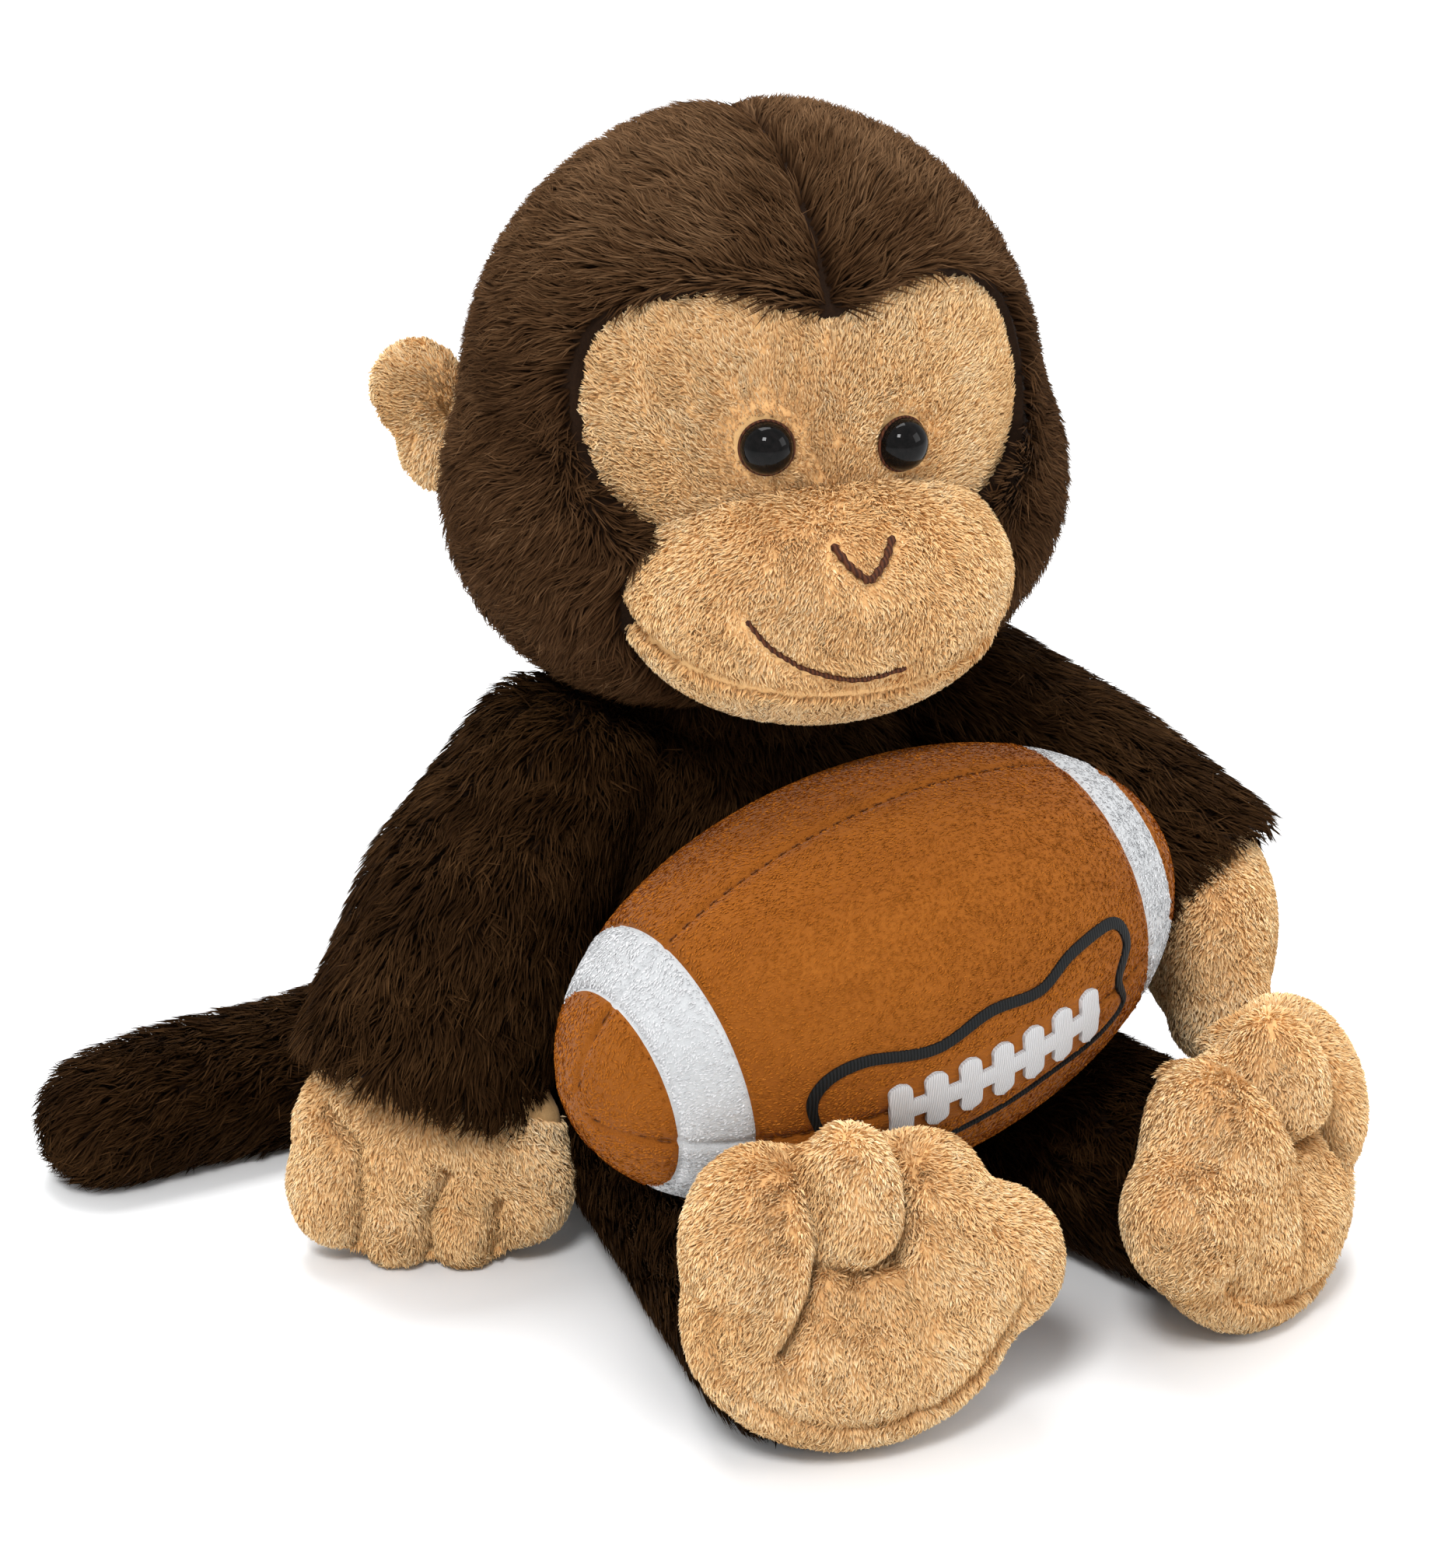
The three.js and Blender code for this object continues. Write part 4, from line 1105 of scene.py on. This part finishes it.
def make_arms():
    for side, sign in SIDES.items():
        body = f"arm_{side}"
        path = [SHOULDERS[side], ELBOWS[side], CUFFS[side]]
        radii = (SHOULDER_RADIUS, ELBOW_RADIUS, CUFF_RADIUS)
        skin = sewn(f"sleeve_{side}_skin", limb_forms(list(zip(path, radii))), 3, 8)
        stuff(skin, [], 1)
        forearm = (CUFFS[side] - ELBOWS[side]).normalized()
        cut(skin, (CUFFS[side] + forearm * 2) * MM, forearm)
        refine(skin)
        nodes = [f"arm_{side}_{part}" for part in ("outer_panel", "inner_panel", "stuffing")]
        dress(skin, BROWN_CLOTH, body, nodes)
        end = CUFFS[side] + forearm * 1.2

        def showing(places, end=end, forearm=forearm, side=side):
            past = (places / MM - np.array(end)) @ np.array(forearm)
            hidden = inside(places, HEAD, (0, 0, 0), (CRANIUM_RADIUS,) * 3, -2)
            return (past < 0) & ~in_ball(places, 0.5) & ~hidden

        strands = pile(
            f"sleeve_{side}_pile", skin, "body", along_limb(path + [CUFFS[side] + forearm * 20]), 61,
            keep=showing, avoid=lambda tips: in_ball(tips, 0.8), floor=0.3,
        )
        dress(strands, BODY_BROWN, body)
        make_paw(side, sign, body)


def make_paw(side, sign, body):
    """A mitten with three fingers sewn in: the thumb's side is mirrored on the other paw."""
    place = paw_place(side)
    forms = [egg((at[0] * -sign, *at[1:]), size) for at, size in PAW_FORMS]
    skin = sewn(f"paw_{side}_skin", forms, 2.2, 5)
    creases = [[(x * -sign, y, z) for x, y, z in path] for path in PAW_CREASES]
    behind = [[(x, -y, z) for x, y, z in path] for path in creases]
    stuff(skin, creases + behind, 1.2, 1.8)
    refine(skin)
    for path in creases:
        press(skin, path, 4, 1.9)
    for path in behind:
        press(skin, path, 3, 1.9, 1)
    settle(skin, place)
    above_floor(skin, PAW_FLOOR)
    dress(skin, TAN_CLOTH, body, (f"paw_{side}_back", f"paw_{side}_palm"))
    path = [SHOULDERS[side], ELBOWS[side], CUFFS[side]]
    forearm = (path[2] - path[1]).normalized()

    def showing(places):
        past = (places / MM - np.array(path[2])) @ np.array(forearm)
        return (past > -1) & ~in_ball(places, 0.5)

    def downwards(places, out):
        local = locally(places, place)
        return turned(np.array((0, 0, -1.0)) + 0.5 * unit(local) * np.array((1, 1, 0)), place)

    # Painted shade: the pile is darker along the finger creases.
    def crease_shade(places):
        local = locally(places, place)
        gap = np.min([flat_gap(local, path) for path in creases], axis=0)
        return -0.36 * np.exp(-((gap / 2) ** 2))

    strands = pile(
        f"paw_{side}_pile", skin, "tan", downwards, 71, keep=showing, tone=crease_shade,
        avoid=lambda tips: in_ball(tips, 0.4), floor=0.2,
    )
    dress(strands, TAN, body)


# ---- Legs and feet ----
FOOT_FORMS = [
    ((0, 0, -5), (30.5, 14, 25)),
    ((-16.5, -4, 6), (14, 12.5, 19)),
    ((-2, -11, 15.5), (8.5, 8.5, 13)),
    ((12.5, -3.5, 8), (13.5, 12, 16)),
    ((24.5, -2, -1), (13.5, 11, 13.5)),
]
FOOT_CREASES = [
    [(-10.5, 0, 28), (-9.5, 0, 18), (-9, 0, 8), (-11.5, 0, 0), (-16, 0, -9)],
    [(6.5, 0, 27), (7.5, 0, 18), (6.5, 0, 10), (4.5, 0, 4.5)],
    [(-8, 0, 4.5), (-2, 0, 2.5), (4.5, 0, 4.5)],
    [(5, 0, -5), (6.5, 0, -13), (6, 0, -22)],
]
CREASE_DEPTHS = (5.5, 5.5, 4.5, 1.6)
HOLLOW = [(-5, 0, -2), (1, 0, -3)]
HEEL_SEAM = [(27 * math.sin(a), 0, -4 - 20.5 * math.cos(a)) for a in np.radians(np.arange(-100, 101, 14))]


def make_legs():
    for side, sign in SIDES.items():
        body = f"leg_{side}"
        path = [HIPS[side], ANKLES[side]]
        skin = sewn(f"leg_{side}_skin", limb_forms(list(zip(path, (HIP_RADIUS, ANKLE_RADIUS)))), 3, 8)
        stuff(skin, [], 1)
        refine(skin)
        above_floor(skin, SKIN_FLOOR)
        nodes = [f"leg_{side}_{part}" for part in ("top_panel", "under_panel", "stuffing")]
        dress(skin, BROWN_CLOTH, body, nodes)

        def showing(places, side=side):
            hidden = in_ball(places, 0.5) | in_foot(side, 2)(places)
            return ~hidden & (places[:, 2] > 1.2 * MM)

        strands = pile(
            f"leg_{side}_pile", skin, "body", along_limb(path), 81, keep=showing,
            avoid=lambda tips, side=side: in_ball(tips, 0.8) | in_foot(side, 1)(tips), floor=0.3,
        )
        dress(strands, BODY_BROWN, body)
        make_foot(side, sign, body)


def make_foot(side, sign, body):
    """A cushioned foot with its toes curled over the sole, and the big toe on the inner side."""
    place = foot_place(side)
    forms = [egg((at[0] * -sign, *at[1:]), size) for at, size in FOOT_FORMS]
    skin = sewn(f"foot_{side}_skin", forms, 2.4, 5)
    creases = [[(x * -sign, y, z) for x, y, z in path] for path in FOOT_CREASES]
    stuff(skin, [], 1.4)
    refine(skin)
    press(skin, [(x * -sign, y, z) for x, y, z in HOLLOW], 3, 6)
    for path, depth in zip(creases, CREASE_DEPTHS):
        press(skin, path, depth, 2.2)
    press(skin, HEEL_SEAM, 2, 1.5)
    settle(skin, place)
    dress(skin, TAN_CLOTH, body, (f"foot_{side}_sole", f"foot_{side}_upper"))

    def swept(places, out):
        local = locally(places, place)
        away = local - np.array((0, -14.0, 34.0))
        return turned(unit(away), place)

    # Painted shade: the pile is darker in the creases around the middle toe, along the heel seam's groove, in
    # the shallow fold lower down and in the hollow under the middle toe.
    def crease_shade(places):
        local = locally(places, place)
        gap = np.min([gap_across(local, path) for path in creases[:3]], axis=0)
        seam, fold = gap_across(local, HEEL_SEAM), gap_across(local, creases[3])
        hollow = gap_across(local, [(x * -sign, y, z) for x, y, z in HOLLOW])
        dark = 0.36 * np.exp(-((gap / 2) ** 2)) + 0.3 * np.exp(-((seam / 1.2) ** 2))
        return -dark - 0.12 * np.exp(-((fold / 2.5) ** 2)) - 0.14 * np.exp(-((hollow / 6) ** 2))

    strands = pile(
        f"foot_{side}_pile", skin, "tan", swept, 91, tone=crease_shade,
        keep=lambda places: ~in_ball(places, 0.5),
        avoid=lambda tips: in_ball(tips, 0.4), floor=0.2,
    )
    dress(strands, TAN, body)


# ---- Tail ----
def make_tail():
    path = [TAIL_ROOT, TAIL_TIP]
    skin = sewn("tail_skin", limb_forms(list(zip(path, TAIL_RADII))), 3, 6)
    stuff(skin, [], 1)
    refine(skin)
    places = points(skin)
    run = np.clip((TAIL_ROOT.x - places[:, 0] / MM) / 110, 0, 1)
    places[:, 2] += (1.2 * np.sin(run * 9) - 0.8) * MM * (places[:, 2] > 4 * MM)
    move_points(skin, places)
    above_floor(skin, SKIN_FLOOR)
    dress(
        skin, BROWN_CLOTH, "tail",
        ("tail_top_panel", "tail_under_panel", "tail_stuffing"),
    )
    strands = pile(
        "tail_pile", skin, "body", along_limb(path), 101, floor=0.3,
        keep=lambda places: places[:, 2] > 1.2 * MM,
    )
    dress(strands, BODY_BROWN, "tail")


# ---- Ball ----
def ball_radius(along):
    return BALL_RADIUS * np.sqrt(np.maximum(0, 1 - (along / BALL_HALF) ** 2))


def ball_form():
    """The stuffed ball, drawn in along its seams."""
    form = egg((0, 0, 0), (BALL_RADIUS, BALL_RADIUS, BALL_HALF), segments=64, rings=48)
    form.data.transform(Matrix.Rotation(math.radians(90), 4, "Y"))

    def at(x, a):
        return x, ball_radius(x) * math.cos(a), ball_radius(x) * math.sin(a)

    lengthwise = [[at(x, a) for x in np.linspace(-63, 63, 25)] for a in np.radians((0, 90, 180, 270))]
    edges = (-BAND[1], -BAND[0], BAND[0], BAND[1])
    around = [[at(x, a) for a in np.radians(range(0, 361, 12))] for x in edges]
    stuff(form, lengthwise + around, 1.0, 2)
    refine(form, 2)
    for path in lengthwise + around:
        crease(form, path, 0.9, 0.85)
    return form, lengthwise, around


def make_ball():
    form, lengthwise, around = ball_form()
    middle = copy_of(form, "ball_middle_cover")
    cut(middle, (BAND[0] * MM, 0, 0), (1, 0, 0))
    cut(middle, (-BAND[0] * MM, 0, 0), (-1, 0, 0))
    panels = [f"ball_{level}_{side}_panel" for level in ("top", "low") for side in ("front", "back")]
    covers = [(middle, BALL_CLOTH, "ball_pile", panels + ["ball_stuffing"])]
    for side, sign in SIDES.items():
        band, tip = copy_of(form, f"ball_band_{side}_cover"), copy_of(form, f"ball_tip_{side}_cover")
        cut(band, (sign * BAND[1] * MM, 0, 0), (sign, 0, 0))
        cut(band, (sign * BAND[0] * MM, 0, 0), (-sign, 0, 0))
        cut(tip, (sign * BAND[1] * MM, 0, 0), (-sign, 0, 0))
        covers.append((band, WHITE_CLOTH, "white_pile", [f"ball_band_{side}"]))
        covers.append((tip, BALL_CLOTH, "ball_pile", [f"ball_tip_{side}"]))
    bpy.data.objects.remove(form)

    def along_ball(places, out):
        return turned(np.tile((-1.0, 0, -0.35), (len(places), 1)), BALL)

    def off_stitching(places):
        local = locally(places, BALL)
        at = local[:, 0] - LACES["centre"]
        sewn_on = (np.abs(at) < LACES["length"] / 2 + 1) & (np.abs(local[:, 2]) < LACES["tie"] / 2 + 0.6)
        border = smooth_loop(BORDER, 120)
        closed = [(x, 0, z) for x, z in np.vstack([border, border[:1]])]
        gap = flat_gap(local - np.array((LACES["centre"], 0, 0)), closed)
        ends_at_cut = np.min([np.abs(np.abs(local[:, 0]) - edge) for edge in BAND], axis=0) > 0.12
        return ends_at_cut & ~((local[:, 1] < 0) & (sewn_on | (gap < 0.9)))

    def by_seam(places):
        local = locally(places, BALL)
        edge = np.min([np.abs(np.abs(local[:, 0]) - edge) for edge in BAND], axis=0)
        around = np.min(np.abs(local[:, 1:]), axis=1)
        return 0.45 + 0.55 * np.clip(np.minimum(edge, around) / 1.4, 0, 1)

    for cover, cloth, slot, nodes in covers:
        smooth(cover, 60)
        settle(cover, BALL)
        dress(cover, cloth, "ball", nodes)
        name = cover.name.replace("_cover", "_nap")
        strands = pile(name, cover, "nap", along_ball, 111, keep=off_stitching, length=by_seam)
        dress(strands, WHITE_PILE if cloth == WHITE_CLOTH else BALL_PILE, "ball")
    make_ball_seams(lengthwise)


def make_ball_seams(lengthwise):
    """Short stitches down in the brown cloth's lengthwise seams, with a gap between one and the next."""
    runs = []
    for path in lengthwise:
        line = smooth_run(path, 12 * len(path))
        for start in range(0, len(line) - 5, 7):
            stitch = line[start : start + 5]
            if BAND[0] - 1 < abs(stitch[2][0]) < BAND[1] + 1:
                continue
            outward = unit(stitch * np.array((0.3, 1, 1)))
            runs.append(stitch - outward * 0.6)
    thread_run("ball_seam_stitches", runs, 0.17, BALL, SEAM_THREAD, "ball", ())


def on_ball(along, up, proud):
    """The front of the ball at a place along and up it, in mm."""
    deep = max(0.0, ball_radius(along) ** 2 - up**2)
    at = Vector((along, -math.sqrt(deep), up))
    outward = Vector((along / BALL_HALF**2, at.y / BALL_RADIUS**2, at.z / BALL_RADIUS**2)).normalized()
    return at + outward * proud


def embroidered(name, outlines, proud, material, nodes):
    """Flat satin stitching on the ball. Each outline is a strip of (left, right) pairs of places."""
    places, faces = [], []
    for pairs, closed in outlines:
        base = len(places)
        for left, right in pairs:
            middle = [(a + b) / 2 for a, b in zip(left, right)]
            places += [on_ball(*left, -0.3), on_ball(*left, proud * 0.75), on_ball(*middle, proud)]
            places += [on_ball(*right, proud * 0.75), on_ball(*right, -0.3)]
        count = len(pairs)
        for i in range(count if closed else count - 1):
            here, there = base + 5 * i, base + 5 * ((i + 1) % count)
            for k in range(4):
                faces.append((here + k, here + k + 1, there + k + 1, there + k))
            faces.append((here + 4, here, there, there + 4))
        if not closed:
            faces.append(tuple(base + k for k in range(4, -1, -1)))
            faces.append(tuple(base + 5 * (count - 1) + k for k in range(5)))
    mesh = bpy.data.meshes.new(name)
    mesh.from_pydata([at * MM for at in places], [], faces)
    made = bpy.data.objects.new(name, mesh)
    bpy.context.scene.collection.objects.link(made)
    pick(made)
    bpy.ops.object.mode_set(mode="EDIT")
    bpy.ops.mesh.select_all(action="SELECT")
    bpy.ops.mesh.normals_make_consistent(inside=False)
    bpy.ops.object.mode_set(mode="OBJECT")
    bpy.ops.object.shade_smooth_by_angle(angle=math.radians(60))
    settle(made, BALL)
    return dress(made, material, "ball", nodes)


def make_embroidery():
    strips = []
    start, end = LACES["centre"] - LACES["length"] / 2, LACES["centre"] + LACES["length"] / 2
    half = LACES["bar"] / 2
    strips.append(([((x, -half), (x, half)) for x in np.linspace(start, end, 60)], False))
    for i in range(LACES["count"]):
        x = start + LACES["width"] / 2 + i * (LACES["length"] - LACES["width"]) / (LACES["count"] - 1)
        pairs = []
        for share in np.linspace(-1, 1, 25):
            wide = LACES["width"] / 2 * math.sqrt(max(0.02, 1 - max(0, (abs(share) - 0.72) / 0.28) ** 2))
            up = share * LACES["tie"] / 2
            pairs.append(((x + wide, up), (x - wide, up)))
        strips.append((pairs, False))
    embroidered("ball_laces_stitches", strips, 0.9, WHITE_THREAD, ("ball_laces",))
    loop = smooth_loop(BORDER, 220)
    way = unit(np.roll(loop, -1, axis=0) - np.roll(loop, 1, axis=0))
    across = np.stack([-way[:, 1], way[:, 0]], axis=1)
    wide = np.where(loop[:, 1] > 0, 0.95, 0.5)
    wide = np.convolve(np.concatenate([wide[-8:], wide, wide[:8]]), np.ones(17) / 17, "valid")
    shift = np.array((LACES["centre"], 0))
    lefts, rights = (loop + shift + sign * across * wide[:, None] for sign in (-1, 1))
    pairs = list(zip(lefts, rights))
    embroidered(
        "ball_border_stitches", [(pairs, True)], 0.5, BLACK_THREAD, ("ball_border_stitching",)
    )


# ---- Stage ----
def make_stage():
    deselect()
    bpy.ops.mesh.primitive_plane_add(size=12, location=(0, 0, 0))
    floor = bpy.context.object
    floor.name = "floor"
    made, shader = new_material("floor")
    feed(shader, {"Base Color": FLOOR_COLOUR, "Roughness": 0.9})
    floor.data.materials.append(made)
    world = bpy.data.worlds.new("studio")
    world.use_nodes = True
    world.node_tree.nodes["Background"].inputs["Color"].default_value = (1, 1, 1, 1)
    world.node_tree.nodes["Background"].inputs["Strength"].default_value = WORLD_STRENGTH
    bpy.context.scene.world = world
    bpy.context.scene.view_settings.view_transform = "Standard"
    for name, (at, size, power) in LIGHTS.items():
        light = bpy.data.lights.new(name, "AREA")
        light.size = size
        light.energy = power
        lamp = bpy.data.objects.new(name, light)
        lamp.location = at
        lamp.rotation_euler = (LOOK_AT - Vector(at)).to_track_quat("-Z", "Y").to_euler()
        bpy.context.scene.collection.objects.link(lamp)


def make_camera():
    made = bpy.data.cameras.new("camera")
    made.lens = CAMERA_LENS
    made.sensor_width = CAMERA_SENSOR
    made.clip_start = 0.05
    camera = bpy.data.objects.new("camera", made)
    back = Vector((
        math.sin(CAMERA_AZIMUTH) * math.cos(CAMERA_ELEVATION),
        -math.cos(CAMERA_AZIMUTH) * math.cos(CAMERA_ELEVATION),
        math.sin(CAMERA_ELEVATION),
    ))
    camera.location = LOOK_AT + back * CAMERA_DISTANCE
    camera.rotation_euler = (-back).to_track_quat("-Z", "Y").to_euler()
    bpy.context.scene.collection.objects.link(camera)
    bpy.context.scene.camera = camera


make_camera()
make_stage()
make_torso()
make_neck()
make_head()
make_face()
make_muzzle()
make_nose_and_mouth()
make_eyes()
make_ears()
make_arms()
make_legs()
make_tail()
make_ball()
make_embroidery()
